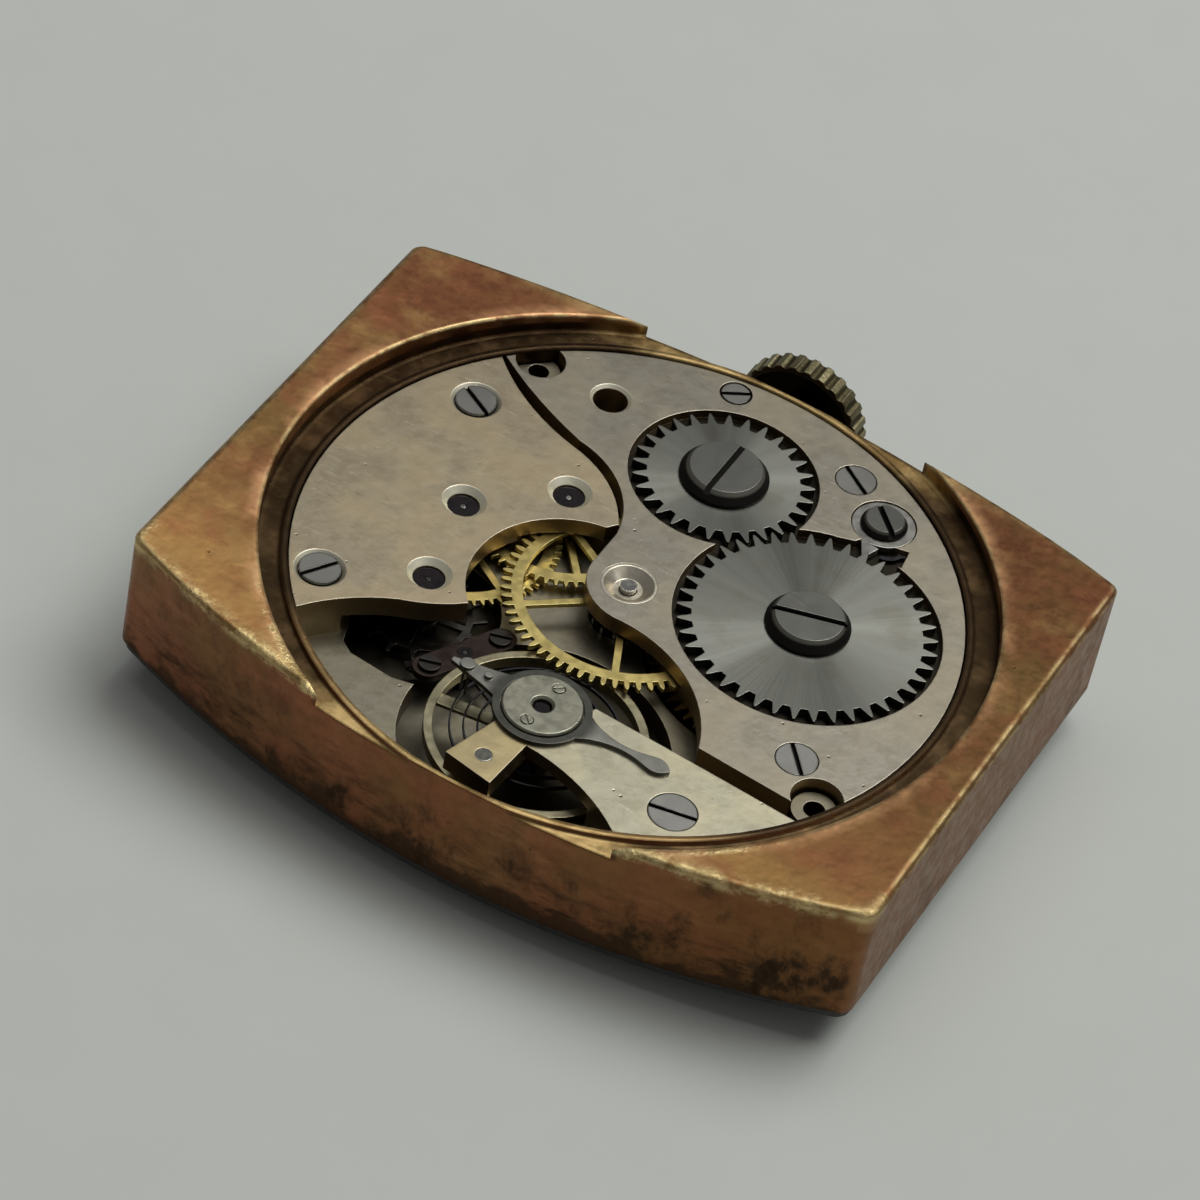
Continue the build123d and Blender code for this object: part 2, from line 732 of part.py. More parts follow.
with BuildPart() as barrel_bridge:
    with BuildSketch(level(bridge_floor)):
        add(barrel_bridge_plan())
    extrude(amount=bridge_thickness)
    # feet on the main plate, and the boss under the crown wheel
    with BuildSketch(level(plate_height)):
        with BuildLine():
            for foot_side in (1, rim_foot_inner_share):
                foot_radius = foot_side * movement_radius
                ThreePointArc(*[polar(foot_radius, angle) for angle in reversed(rim_foot_angles)])
            for foot_end in (rim_foot_angles[0], rim_foot_angles[-1]):
                Line(rim_point(foot_end), polar(rim_foot_inner_share * movement_radius, foot_end))
        make_face()
        with Locations(spot(barrel_foot_share)):
            Circle(barrel_foot_radius)
        add(barrel_bridge_plan(), mode=Mode.INTERSECT)
        with Locations(barrel_place):
            Circle(barrel_pitch + recess_clearance + wheel_clearance, mode=Mode.SUBTRACT)
    extrude(amount=bridge_space)
    with BuildSketch(level(crown_boss_height, crown_wheel_place)):
        Circle(crown_boss_radius)
    extrude(amount=bridge_floor - crown_boss_height)
    # recesses on top for the winding wheels and the click
    with BuildSketch(level(ratchet_recess_floor)):
        with Locations(barrel_place):
            Circle(ratchet_tip_radius + recess_clearance)
        with Locations(crown_wheel_place):
            Circle(crown_wheel_tip_radius + recess_clearance)
        with Locations(click_place):
            Circle(click_radius + lever_clearance)
        Polygon(*[spot(share) for share in click_cut_shares])
    extrude(amount=bridge_thickness, mode=Mode.SUBTRACT)
    with BuildSketch(level(crown_groove_floor_height, crown_wheel_place)):
        Circle(contrate_radius + 0.5 * wheel_clearance)
        Circle(contrate_radius - contrate_width - 0.5 * wheel_clearance, mode=Mode.SUBTRACT)
    extrude(amount=bridge_thickness, mode=Mode.SUBTRACT)
    # window where the winding pinion reaches the crown wheel
    with BuildSketch(level(crown_boss_height - overrun)):
        with Locations((0, winding_pinion_place + winding_pinion_width / 2)):
            Rectangle(2 * sliding_slot_half_width, winding_pinion_width + 2 * wheel_clearance)
    window_top = stem_height + winding_pinion_radius + wheel_clearance
    extrude(amount=window_top - crown_boss_height + overrun, mode=Mode.SUBTRACT)
    # room under the bridge for the centre wheel and the barrel
    with BuildSketch(level(crown_boss_height - overrun)):
        Circle(centre_tip + wheel_clearance)
    extrude(amount=centre_wheel_room - crown_boss_height + overrun, mode=Mode.SUBTRACT)
    # holes right through
    with BuildSketch(level(plate_height - overrun)):
        Circle(centre_bushing_radius)
        with Locations(barrel_place):
            Circle(arbor_pivot_radius + shaft_clearance)
        with Locations(crown_wheel_place, click_place):
            Circle(screw_shank_radius)
        with Locations([spot(share) for share in bridge_screw_shares[2:]]):
            Circle(screw_shank_radius + shaft_clearance)
        with Locations(setting_lever_place):
            Circle(small_screw_radius + shaft_clearance)
        with Locations(bare_hole_place):
            Circle(bare_hole_radius)
    extrude(amount=bridge_top + overrun, mode=Mode.SUBTRACT)
    # sinks for the screw heads
    with BuildSketch(level(bridge_top - screw_head_depth)):
        with Locations([spot(share) for share in bridge_screw_shares[2:]]):
            Circle(screw_head_radius + shaft_clearance)
        with Locations(setting_lever_place):
            Circle(0.82 * screw_head_radius)
    extrude(amount=bridge_thickness, mode=Mode.SUBTRACT)
    with BuildSketch(level(bridge_top)):
        with Locations(bare_hole_place):
            Circle(bare_hole_radius + bare_hole_bevel)
    extrude(amount=-bare_hole_bevel, taper=45, mode=Mode.SUBTRACT)
barrel_bridge.part.label = "barrel_bridge"
export_step(barrel_bridge.part, "parts/barrel_bridge.step")

# Train bridge: a fan over the third, fourth and escape wheels
train_start_angle, train_end_angle = 141.8, 223.2
train_top_shares = ((-0.591, 0.4745), (-0.4221, 0.4095), (-0.2617, 0.3377), (-0.1452, 0.1984))
train_hollow_shares = ((-0.1688, 0.1646), (-0.4263, -0.1435), (-0.3377, -0.363))
train_low_shares = ((-0.4179, -0.4289), (-0.5065, -0.4745), (-0.6121, -0.5488))
train_foot_shares = ((-0.7851, 0.439), (-0.7936, -0.5488))
train_foot_radius = 1.9


def train_bridge_plan():
    """The train bridge seen from above."""
    start, end = rim_point(train_start_angle), rim_point(train_end_angle)
    far = rim_point((train_start_angle + train_end_angle) / 2)
    top = [spot(share) for share in train_top_shares]
    hollow = [spot(share) for share in train_hollow_shares]
    low = [spot(share) for share in train_low_shares]
    with BuildSketch() as plan:
        with BuildLine():
            ThreePointArc(start, top[0], top[1])
            ThreePointArc(top[1], top[2], top[3])
            Line(top[3], hollow[0])
            ThreePointArc(hollow[0], hollow[1], hollow[2])
            ThreePointArc(hollow[2], low[0], low[1])
            ThreePointArc(low[1], low[2], end)
            ThreePointArc(end, far, start)
        make_face()
    return plan.sketch


train_jewel_places = [third_place, fourth_place, escape_place]
jewel_top = bridge_top - jewel_depth

with BuildPart() as train_bridge:
    with BuildSketch(level(bridge_floor)):
        add(train_bridge_plan())
    extrude(amount=bridge_thickness)
    with BuildSketch(level(plate_height)):
        with Locations([spot(share) for share in train_foot_shares]):
            Circle(train_foot_radius)
        add(train_bridge_plan(), mode=Mode.INTERSECT)
    extrude(amount=bridge_space)
    # room for the centre wheel and the third pinion
    with BuildSketch(level(plate_height)):
        Circle(centre_tip + wheel_clearance)
        with Locations(third_place):
            Circle(1.6 * third_pinion_pitch)
    extrude(amount=centre_wheel_room - plate_height, mode=Mode.SUBTRACT)
    with BuildSketch(level(plate_height - overrun)):
        with Locations(train_jewel_places):
            Circle(arbor_shaft_radius + 2 * shaft_clearance)
        with Locations([spot(share) for share in bridge_screw_shares[:2]]):
            Circle(screw_shank_radius + shaft_clearance)
    extrude(amount=bridge_top + overrun, mode=Mode.SUBTRACT)
    with BuildSketch(level(jewel_top - jewel_thickness)):
        with Locations(train_jewel_places):
            Circle(jewel_radius)
    extrude(amount=bridge_thickness, mode=Mode.SUBTRACT)
    with BuildSketch(level(bridge_top)):
        with Locations(train_jewel_places):
            Circle(jewel_radius + jewel_bevel)
    extrude(amount=-jewel_bevel, taper=45, mode=Mode.SUBTRACT)
    with BuildSketch(level(bridge_top - screw_head_depth)):
        with Locations([spot(share) for share in bridge_screw_shares[:2]]):
            Circle(screw_head_radius + shaft_clearance)
    extrude(amount=bridge_thickness, mode=Mode.SUBTRACT)
    with BuildSketch(level(bridge_top)):
        with Locations([spot(share) for share in bridge_screw_shares[:2]]):
            Circle(screw_sink_radius)
    extrude(amount=-(screw_sink_radius - screw_head_radius), taper=45, mode=Mode.SUBTRACT)
train_bridge.part.label = "train_bridge"
export_step(train_bridge.part, "parts/train_bridge.step")

# Balance cock: foot at the edge, arm to the balance axis and a block that holds the stud
cock_start_angle, cock_end_angle = -32.9, -63.8
cock_top_shares = ((0.1688, -0.5065), (0.5065, -0.5234))
cock_low_shares = ((0.0802, -0.7556), (0.2617, -0.7936))
stud_block_shares = ((-0.0338, -0.70), (-0.0929, -0.916), (0.0675, -0.9455), (0.0802, -0.7456))
cock_arm_floor = bridge_top - cock_arm_thickness


def cock_plan():
    """The balance cock seen from above, without the stud block."""
    start, end = rim_point(cock_start_angle), rim_point(cock_end_angle)
    far = rim_point((cock_start_angle + cock_end_angle) / 2)
    top = [spot(share) for share in cock_top_shares]
    low = [spot(share) for share in cock_low_shares]
    with BuildSketch() as plan:
        with BuildLine():
            ThreePointArc(start, top[1], top[0])
            Line(top[0], low[0])
            ThreePointArc(low[0], low[1], end)
            ThreePointArc(end, far, start)
        make_face()
        with Locations(balance_place):
            Circle(cock_arm_radius)
    return plan.sketch


with BuildPart() as balance_cock:
    with BuildSketch(level(cock_arm_floor)):
        add(cock_plan())
    extrude(amount=cock_arm_thickness)
    with BuildSketch(level(plate_height)):
        add(cock_plan())
        with Locations(balance_place):
            Circle(cock_space_radius, mode=Mode.SUBTRACT)
    extrude(amount=cock_arm_floor - plate_height)
    with BuildSketch(level(bridge_top - stud_block_thickness)):
        Polygon(*[spot(share) for share in stud_block_shares])
    extrude(amount=stud_block_thickness)
    with BuildSketch(level(plate_height - overrun)):
        with Locations(balance_place):
            Circle(jewel_radius)
        with Locations(stud_place):
            Circle(stud_radius)
        with Locations(cock_screw_place):
            Circle(screw_shank_radius + shaft_clearance)
    extrude(amount=bridge_top + overrun, mode=Mode.SUBTRACT)
    with BuildSketch(level(bridge_top - screw_head_depth)):
        with Locations(cock_screw_place):
            Circle(cock_screw_radius + shaft_clearance)
    extrude(amount=bridge_thickness, mode=Mode.SUBTRACT)
balance_cock.part.label = "balance_cock"
export_step(balance_cock.part, "parts/balance_cock.step")

# Pallet cock: a small bar over the pallet arbor, square to the escapement's line
pallet_screw_reach = pallet_cock_reach - small_screw_radius
pallet_cock_width_share = 0.55
with BuildPart() as pallet_cock:
    with BuildSketch(level(plate_height, pallet_place, escape_line + 90)):
        SlotOverall(2 * pallet_cock_reach + small_screw_radius, pallet_cock_width_share * pallet_cock_reach)
    extrude(amount=pallet_cock_thickness)
    with BuildSketch(level(plate_height - overrun, pallet_place, escape_line + 90)):
        Circle(0.5 * jewel_radius)
        with Locations((-pallet_screw_reach, 0), (pallet_screw_reach, 0)):
            Circle(0.5 * small_screw_radius + shaft_clearance)
    extrude(amount=plate_height, mode=Mode.SUBTRACT)
pallet_cock.part.label = "pallet_cock"
export_step(pallet_cock.part, "parts/pallet_cock.step")

# Screws
with BuildPart() as bridge_screws:
    for share, turn in zip(bridge_screw_shares, bridge_screw_turns):
        place = spot(share)
        with BuildSketch(level(bridge_top - screw_head_depth, place)):
            Circle(screw_head_radius)
        extrude(amount=screw_head_depth)
        with BuildSketch(level(bridge_top - screw_head_depth, place)):
            Circle(screw_shank_radius)
        extrude(amount=-(bridge_space + screw_shank_length))
        with BuildSketch(level(bridge_top - screw_slot_depth, place)):
            add(slot_in(screw_head_radius, turn))
        extrude(amount=screw_head_depth, mode=Mode.SUBTRACT)
bridge_screws.part.label = "bridge_screws"
export_step(bridge_screws.part, "parts/bridge_screws.step")

with BuildPart() as balance_cock_screw:
    with BuildSketch(level(bridge_top - screw_head_depth, cock_screw_place)):
        Circle(cock_screw_radius)
    extrude(amount=screw_head_depth)
    with BuildSketch(level(bridge_top - screw_head_depth, cock_screw_place)):
        Circle(screw_shank_radius)
    extrude(amount=-(bridge_space + screw_shank_length))
    with BuildSketch(level(bridge_top - screw_slot_depth, cock_screw_place)):
        add(slot_in(cock_screw_radius, cock_screw_turn))
    extrude(amount=screw_head_depth, mode=Mode.SUBTRACT)
balance_cock_screw.part.label = "balance_cock_screw"
export_step(balance_cock_screw.part, "parts/balance_cock_screw.step")

with BuildPart() as setting_lever_screw:
    with BuildSketch(level(bridge_top - screw_head_depth, setting_lever_place)):
        Circle(0.72 * screw_head_radius)
    extrude(amount=screw_head_depth)
    with BuildSketch(level(lever_height + lever_thickness, setting_lever_place)):
        Circle(screw_shank_radius)
    extrude(amount=bridge_top - screw_head_depth - lever_height - lever_thickness)
    with BuildSketch(level(lever_height, setting_lever_place)):
        Circle(0.6 * screw_shank_radius)
    extrude(amount=lever_thickness)
    with BuildSketch(level(bridge_top - screw_slot_depth, setting_lever_place)):
        add(slot_in(screw_head_radius, setting_lever_screw_turn))
    extrude(amount=screw_head_depth, mode=Mode.SUBTRACT)
setting_lever_screw.part.label = "setting_lever_screw"
export_step(setting_lever_screw.part, "parts/setting_lever_screw.step")


# Raised screw heads of the winding wheels: a cylinder with a wide bevel and a slot
def raised_head(radius, rise, turn, place, floor):
    """A screw head with a wide bevel and a slot."""
    bevel_share = 0.2
    wall_share = 0.22
    with BuildPart() as head:
        with BuildSketch(level(floor, place)):
            Circle(radius)
        extrude(amount=wall_share * rise)
        with BuildSketch(level(floor + wall_share * rise, place)):
            Circle(radius)
        with BuildSketch(level(floor + rise, place)):
            Circle(radius * (1 - bevel_share))
        loft()
        with BuildSketch(level(floor + rise - 1.3 * screw_slot_depth, place)):
            Rectangle(2 * radius + screw_slot_width, 1.5 * screw_slot_width, rotation=turn)
        extrude(amount=rise, mode=Mode.SUBTRACT)
    return head.part


with BuildPart() as ratchet_screw:
    add(raised_head(ratchet_screw_radius, winding_screw_rise, ratchet_screw_turn, barrel_place, bridge_top))
    with BuildSketch(level(bridge_top, barrel_place)):
        Circle(0.5 * arbor_pivot_radius)
    extrude(amount=-bridge_thickness)
ratchet_screw.part.label = "ratchet_screw"
export_step(ratchet_screw.part, "parts/ratchet_screw.step")

with BuildPart() as crown_wheel_screw:
    crown_head_floor = bridge_top + touch_clearance
    turn = crown_wheel_screw_turn
    add(raised_head(crown_screw_radius, winding_screw_rise, turn, crown_wheel_place, crown_head_floor))
    with BuildSketch(level(crown_head_floor, crown_wheel_place)):
        Circle(screw_shank_radius)
    extrude(amount=-(bridge_thickness + touch_clearance))
    with BuildSketch(level(crown_head_floor, crown_wheel_place)):
        Circle(arbor_radius)
    extrude(amount=-(winding_wheel_thickness + touch_clearance + lever_clearance))
crown_wheel_screw.part.label = "crown_wheel_screw"
export_step(crown_wheel_screw.part, "parts/crown_wheel_screw.step")

with BuildPart() as click_screw:
    click_head_floor = bridge_top - touch_clearance
    add(raised_head(click_screw_radius, click_screw_rise, click_screw_turn, click_place, click_head_floor))
    with BuildSketch(level(click_head_floor, click_place)):
        Circle(screw_shank_radius)
    extrude(amount=-bridge_thickness + touch_clearance)
click_screw.part.label = "click_screw"
export_step(click_screw.part, "parts/click_screw.step")


# Winding wheels: pointed teeth with wide gaps
def winding_flank(tip_radius):
    """A winding wheel's tooth, from root to tip."""
    root_share, waist_share, shoulder_share, crest_share = 0.3, 0.2, 0.13, 0.045
    return [
        (tip_radius - ratchet_tooth_depth, root_share),
        (tip_radius - 0.66 * ratchet_tooth_depth, waist_share),
        (tip_radius - 0.3 * ratchet_tooth_depth, shoulder_share),
        (tip_radius, crest_share),
    ]


winding_wheel_floor = bridge_top - winding_wheel_thickness
with BuildPart() as ratchet_wheel:
    with BuildSketch(level(winding_wheel_floor, barrel_place)):
        Polygon(*toothed(ratchet_teeth, winding_flank(ratchet_tip_radius), ratchet_phase))
        Rectangle(arbor_square, arbor_square, mode=Mode.SUBTRACT)
    extrude(amount=winding_wheel_thickness)
ratchet_wheel.part.label = "ratchet_wheel"
export_step(ratchet_wheel.part, "parts/ratchet_wheel.step")

contrate_tooth_height = winding_pinion_width / 3
contrate_gap_angle = bearing(crown_wheel_place, (0, winding_pinion_place + winding_pinion_width / 2))
contrate_tooth_share = 0.42
with BuildPart() as crown_wheel:
    with BuildSketch(level(winding_wheel_floor, crown_wheel_place)):
        Polygon(*toothed(crown_wheel_teeth, winding_flank(crown_wheel_tip_radius), crown_wheel_phase))
        Circle(arbor_radius + shaft_clearance, mode=Mode.SUBTRACT)
    extrude(amount=winding_wheel_thickness)
    with BuildSketch(level(contrate_floor_height + contrate_tooth_height, crown_wheel_place)):
        Circle(contrate_radius)
        Circle(contrate_radius - contrate_width, mode=Mode.SUBTRACT)
    extrude(amount=winding_wheel_floor - contrate_floor_height - contrate_tooth_height)
    with BuildSketch(level(contrate_floor_height, crown_wheel_place, contrate_gap_angle)):
        contrate_pitch_angle = 360 / contrate_teeth
        tooth_width = contrate_tooth_share * math.radians(contrate_pitch_angle) * contrate_middle
        with PolarLocations(contrate_middle, contrate_teeth, start_angle=contrate_pitch_angle / 2):
            Rectangle(0.9 * contrate_width, tooth_width)
    extrude(amount=contrate_tooth_height)
crown_wheel.part.label = "crown_wheel"
export_step(crown_wheel.part, "parts/crown_wheel.step")

# Click with its beak in the ratchet wheel's teeth, and its blade spring
click_floor = bridge_top - winding_wheel_thickness
click_beak_shares = ((0.4643, 0.6079), (0.5276, 0.5994), (0.5075, 0.5415), (0.4995, 0.5415))
with BuildPart() as click:
    with BuildSketch(level(click_floor)):
        with Locations(click_place):
            Circle(click_radius)
        Polygon(*[spot(share) for share in click_beak_shares])
        with Locations(click_place):
            Circle(screw_shank_radius + shaft_clearance, mode=Mode.SUBTRACT)
    extrude(amount=click_thickness)
click.part.label = "click"
export_step(click.part, "parts/click.step")

click_spring_shares = ((0.592, 0.632), (0.575, 0.598), (0.543, 0.585))
with BuildPart() as click_spring:
    with BuildSketch(level(click_floor)):
        with BuildLine():
            spring_path = [spot(share) for share in click_spring_shares]
            ThreePointArc(spring_path[0], spring_path[1], spring_path[2])
        trace(line_width=click_spring_width)
        with Locations(spring_path[0]):
            Circle(click_spring_width)
    extrude(amount=click_thickness / 2)
click_spring.part.label = "click_spring"
export_step(click_spring.part, "parts/click_spring.step")

# Barrel, its cover, arbor and mainspring
with BuildPart() as barrel:
    with BuildSketch(level(barrel_height, barrel_place)):
        Circle(barrel_root)
    extrude(amount=barrel_depth)
    with BuildSketch(level(band_floor, barrel_place)):
        Polygon(*toothed(barrel_teeth, plain_flank(barrel_pitch, barrel_teeth), barrel_phase))
    extrude(amount=barrel_tooth_band_height)
    with BuildSketch(level(barrel_height + barrel_floor, barrel_place)):
        Circle(barrel_inner)
    extrude(amount=barrel_depth, mode=Mode.SUBTRACT)
    with BuildSketch(level(barrel_height - overrun, barrel_place)):
        Circle(arbor_pivot_radius + shaft_clearance)
    extrude(amount=barrel_depth, mode=Mode.SUBTRACT)
barrel.part.label = "barrel"
export_step(barrel.part, "parts/barrel.step")

with BuildPart() as barrel_cover:
    with BuildSketch(level(cover_floor, barrel_place)):
        Circle(barrel_inner)
        Circle(arbor_pivot_radius + shaft_clearance, mode=Mode.SUBTRACT)
    extrude(amount=barrel_cover_thickness)
barrel_cover.part.label = "barrel_cover"
export_step(barrel_cover.part, "parts/barrel_cover.step")

with BuildPart() as barrel_arbor:
    arbor_low = barrel_height + barrel_floor + touch_clearance
    arbor_pivot_low = motion_pocket_depth + touch_clearance
    with BuildSketch(level(arbor_pivot_low, barrel_place)):
        Circle(arbor_pivot_radius)
    extrude(amount=winding_wheel_floor - arbor_pivot_low)
    with BuildSketch(level(arbor_low, barrel_place)):
        Circle(arbor_radius)
    extrude(amount=cover_floor - touch_clearance - arbor_low)
    with BuildSketch(level(winding_wheel_floor, barrel_place)):
        Rectangle(arbor_square, arbor_square)
    extrude(amount=winding_wheel_thickness)
    with BuildSketch(level(bridge_top - bridge_thickness, barrel_place)):
        Circle(0.5 * arbor_pivot_radius)
    extrude(amount=bridge_thickness, mode=Mode.SUBTRACT)
barrel_arbor.part.label = "barrel_arbor"
export_step(barrel_arbor.part, "parts/barrel_arbor.step")

mainspring_low = arbor_low + touch_clearance
with BuildPart() as mainspring:
    with BuildSketch(level(mainspring_low, barrel_place)):
        first_radius = arbor_radius + mainspring_strip / 2 + touch_clearance
        add(spiral_strip(first_radius, mainspring_pitch, mainspring_half_turns, mainspring_strip))
    extrude(amount=cover_floor - 2 * touch_clearance - mainspring_low)
mainspring.part.label = "mainspring"
export_step(mainspring.part, "parts/mainspring.step")
print("mainspring least gap", round(spiral_gap(mainspring_pitch, mainspring_strip), 3))


# Train wheels with their spokes, and the pinions on their arbors
def wheel_plan(teeth, flank, phase, turn, bore_radius=arbor_shaft_radius):
    """A spoked train wheel seen from above."""
    with BuildSketch() as plan:
        Polygon(*toothed(teeth, flank, phase))
        rim_inner = flank[0][0] - wheel_rim
        hub_radius = wheel_hub_radius + bore_radius - arbor_shaft_radius
        add(wheel_windows(rim_inner, hub_radius, train_spokes, wheel_spoke_width, turn), mode=Mode.SUBTRACT)
        Circle(bore_radius, mode=Mode.SUBTRACT)
    return plan.sketch


with BuildPart() as centre_wheel:
    with BuildSketch(level(centre_wheel_height)):
        centre_flank = train_flank(centre_pitch, centre_teeth)
        add(wheel_plan(centre_teeth, centre_flank, centre_phase, centre_spoke_turn, centre_arbor_radius))
    extrude(amount=train_wheel_thickness)
centre_wheel.part.label = "centre_wheel"
export_step(centre_wheel.part, "parts/centre_wheel.step")

with BuildPart() as third_wheel:
    with BuildSketch(level(third_wheel_height, third_place)):
        third_flank = plain_flank(third_pitch, third_teeth)
        add(wheel_plan(third_teeth, third_flank, third_phase, third_spoke_turn))
    extrude(amount=train_wheel_thickness)
third_wheel.part.label = "third_wheel"
export_step(third_wheel.part, "parts/third_wheel.step")

with BuildPart() as fourth_wheel:
    with BuildSketch(level(fourth_wheel_height, fourth_place)):
        fourth_flank = plain_flank(fourth_pitch, fourth_teeth)
        add(wheel_plan(fourth_teeth, fourth_flank, fourth_phase, fourth_spoke_turn))
    extrude(amount=train_wheel_thickness)
fourth_wheel.part.label = "fourth_wheel"
export_step(fourth_wheel.part, "parts/fourth_wheel.step")

centre_pinion_high = third_wheel_height - wheel_clearance
centre_top = bridge_top - 0.5 * screw_slot_depth
with BuildPart() as centre_pinion:
    arbor_step = motion_height + motion_wheel_thickness + touch_clearance
    with BuildSketch(level(arbor_step)):
        Circle(centre_arbor_radius)
    extrude(amount=centre_wheel_room - arbor_step)
    with BuildSketch(level(arbor_step)):
        Circle(centre_hole_radius)
    extrude(amount=centre_top - arbor_step)
    with BuildSketch(level(band_floor - wheel_clearance)):
        centre_pinion_flank = leaf_flank(centre_pinion_pitch, centre_pinion_teeth)
        Polygon(*toothed(centre_pinion_teeth, centre_pinion_flank, centre_pinion_phase))
    extrude(amount=centre_pinion_high - band_floor + wheel_clearance)
    post_length = arbor_step + hour_wheel_thickness + dial_thickness + frame_bottom_drop + 5 * hand_gap
    with BuildSketch(level(arbor_step)):
        Circle(0.6 * centre_hole_radius)
    extrude(amount=-post_length)
centre_pinion.part.label = "centre_pinion"
export_step(centre_pinion.part, "parts/centre_pinion.step")

plate_jewel_low = plate_height - jewel_depth - jewel_thickness
pocket_jewel_low = pocket_floor_height - touch_clearance - jewel_thickness


def train_arbor(place, low, leaf_low, leaf_high, teeth, pitch_radius, phase):
    """A pinion with its arbor and two pivots."""
    jewel_low = jewel_top - jewel_thickness
    shaft_low = low + jewel_thickness + touch_clearance
    with BuildPart() as arbor:
        with BuildSketch(level(low, place)):
            Circle(pivot_radius)
        extrude(amount=jewel_top - low)
        with BuildSketch(level(shaft_low, place)):
            Circle(arbor_shaft_radius)
        extrude(amount=jewel_low - touch_clearance - shaft_low)
        with BuildSketch(level(leaf_low, place)):
            Polygon(*toothed(teeth, leaf_flank(pitch_radius, teeth), phase))
        extrude(amount=leaf_high - leaf_low)
    return arbor.part


third_leaf_low = third_wheel_height + train_wheel_thickness + touch_clearance
with BuildPart() as third_pinion:
    third_leaf_high = centre_wheel_height + train_wheel_thickness + touch_clearance
    add(
        train_arbor(
            third_place,
            plate_jewel_low,
            third_leaf_low,
            third_leaf_high,
            third_pinion_teeth,
            third_pinion_pitch,
            third_pinion_phase,
        )
    )
third_pinion.part.label = "third_pinion"
export_step(third_pinion.part, "parts/third_pinion.step")

fourth_leaf_low = fourth_wheel_height + train_wheel_thickness + touch_clearance
with BuildPart() as fourth_pinion:
    add(
        train_arbor(
            fourth_place,
            plate_jewel_low,
            fourth_leaf_low,
            third_wheel_height + 2 * train_wheel_thickness,
            fourth_pinion_teeth,
            fourth_pinion_pitch,
            fourth_pinion_phase,
        )
    )
    with BuildSketch(level(plate_height, fourth_place)):
        Circle(pivot_radius)
    extrude(amount=-(plate_height + frame_bottom_drop + dial_thickness + 2 * hand_gap))
fourth_pinion.part.label = "fourth_pinion"
export_step(fourth_pinion.part, "parts/fourth_pinion.step")

with BuildPart() as escape_pinion:
    add(
        train_arbor(
            escape_place,
            pocket_jewel_low,
            escape_wheel_height + escape_wheel_thickness + wheel_clearance,
            fourth_wheel_height + 1.6 * train_wheel_thickness,
            escape_pinion_teeth,
            escape_pinion_pitch,
            escape_pinion_phase,
        )
    )
escape_pinion.part.label = "escape_pinion"
export_step(escape_pinion.part, "parts/escape_pinion.step")

# Escape wheel: fifteen raked club teeth
escape_root = escape_tip_radius - escape_tooth_depth
escape_tooth_shares = ((0, -0.2), (1, 0.0), (0.93, 0.14), (0.3, 0.06), (0, 0.2))
escape_phase_shift = 6.5
escape_points = [
    polar(
        escape_root + depth_share * escape_tooth_depth,
        escape_line + escape_phase_shift + (count + turn_share) * 360 / escape_teeth,
    )
    for count in range(escape_teeth)
    for depth_share, turn_share in escape_tooth_shares
]
with BuildPart() as escape_wheel:
    with BuildSketch(level(escape_wheel_height, escape_place)):
        Polygon(*escape_points)
        rim_inner, hub_radius = escape_root - 0.6 * wheel_rim, 0.8 * wheel_hub_radius
        windows = wheel_windows(rim_inner, hub_radius, escape_spokes, wheel_spoke_width, escape_spoke_turn)
        add(windows, mode=Mode.SUBTRACT)
        Circle(arbor_shaft_radius, mode=Mode.SUBTRACT)
    extrude(amount=escape_wheel_thickness)
escape_wheel.part.label = "escape_wheel"
export_step(escape_wheel.part, "parts/escape_wheel.step")

# Pallet fork: two arms with stones towards the escape wheel, a lever to the roller
stone_x = -pallet_distance + escape_tip_radius * math.cos(math.radians(pallet_half_angle))
stone_y = escape_tip_radius * math.sin(math.radians(pallet_half_angle))
stone_clear = 0.5 * lever_clearance
with BuildPart() as pallet_fork:
    with BuildSketch(level(escape_wheel_height, pallet_place, escape_line)):
        Circle(2 * arbor_shaft_radius)
        with Locations((fork_length / 2, 0)):
            Rectangle(fork_length, fork_arm_width)
        with Locations((fork_length, 0)):
            Rectangle(2 * fork_slot_depth, 3.4 * impulse_pin_radius + fork_arm_width)
        with BuildLine():
            Polyline(
                (1.5 * fork_arm_width, 0),
                (stone_x + pallet_stone_length, stone_y + pallet_stone_width),
                (stone_x, stone_y + pallet_stone_length),
                (stone_x - fork_arm_width, stone_y + pallet_stone_length - fork_arm_width),
                (-fork_arm_width, 0),
                (stone_x - fork_arm_width, -stone_y - pallet_stone_length + fork_arm_width),
                (stone_x, -stone_y - pallet_stone_length),
                (stone_x + pallet_stone_length, -stone_y - pallet_stone_width),
                close=True,
            )
        make_face()
        with Locations((fork_length + fork_slot_depth / 2, 0)):
            Rectangle(
                fork_slot_depth + 2 * impulse_pin_radius,
                2 * impulse_pin_radius + 2 * shaft_clearance,
                mode=Mode.SUBTRACT,
            )
        Circle(arbor_shaft_radius, mode=Mode.SUBTRACT)
    extrude(amount=fork_thickness)
pallet_fork.part.label = "pallet_fork"
export_step(pallet_fork.part, "parts/pallet_fork.step")

with BuildPart() as pallet_stones:
    for side in (-1, 1):
        tip = (stone_x, side * (stone_y + stone_clear))
        with BuildSketch(level(escape_wheel_height + fork_thickness, pallet_place, escape_line)):
            with Locations((tip[0], tip[1] + side * pallet_stone_length / 2)):
                Rectangle(pallet_stone_width, pallet_stone_length, rotation=side * pallet_stone_turn)
        extrude(amount=0.6 * fork_thickness)
pallet_stones.part.label = "pallet_stones"
export_step(pallet_stones.part, "parts/pallet_stones.step")

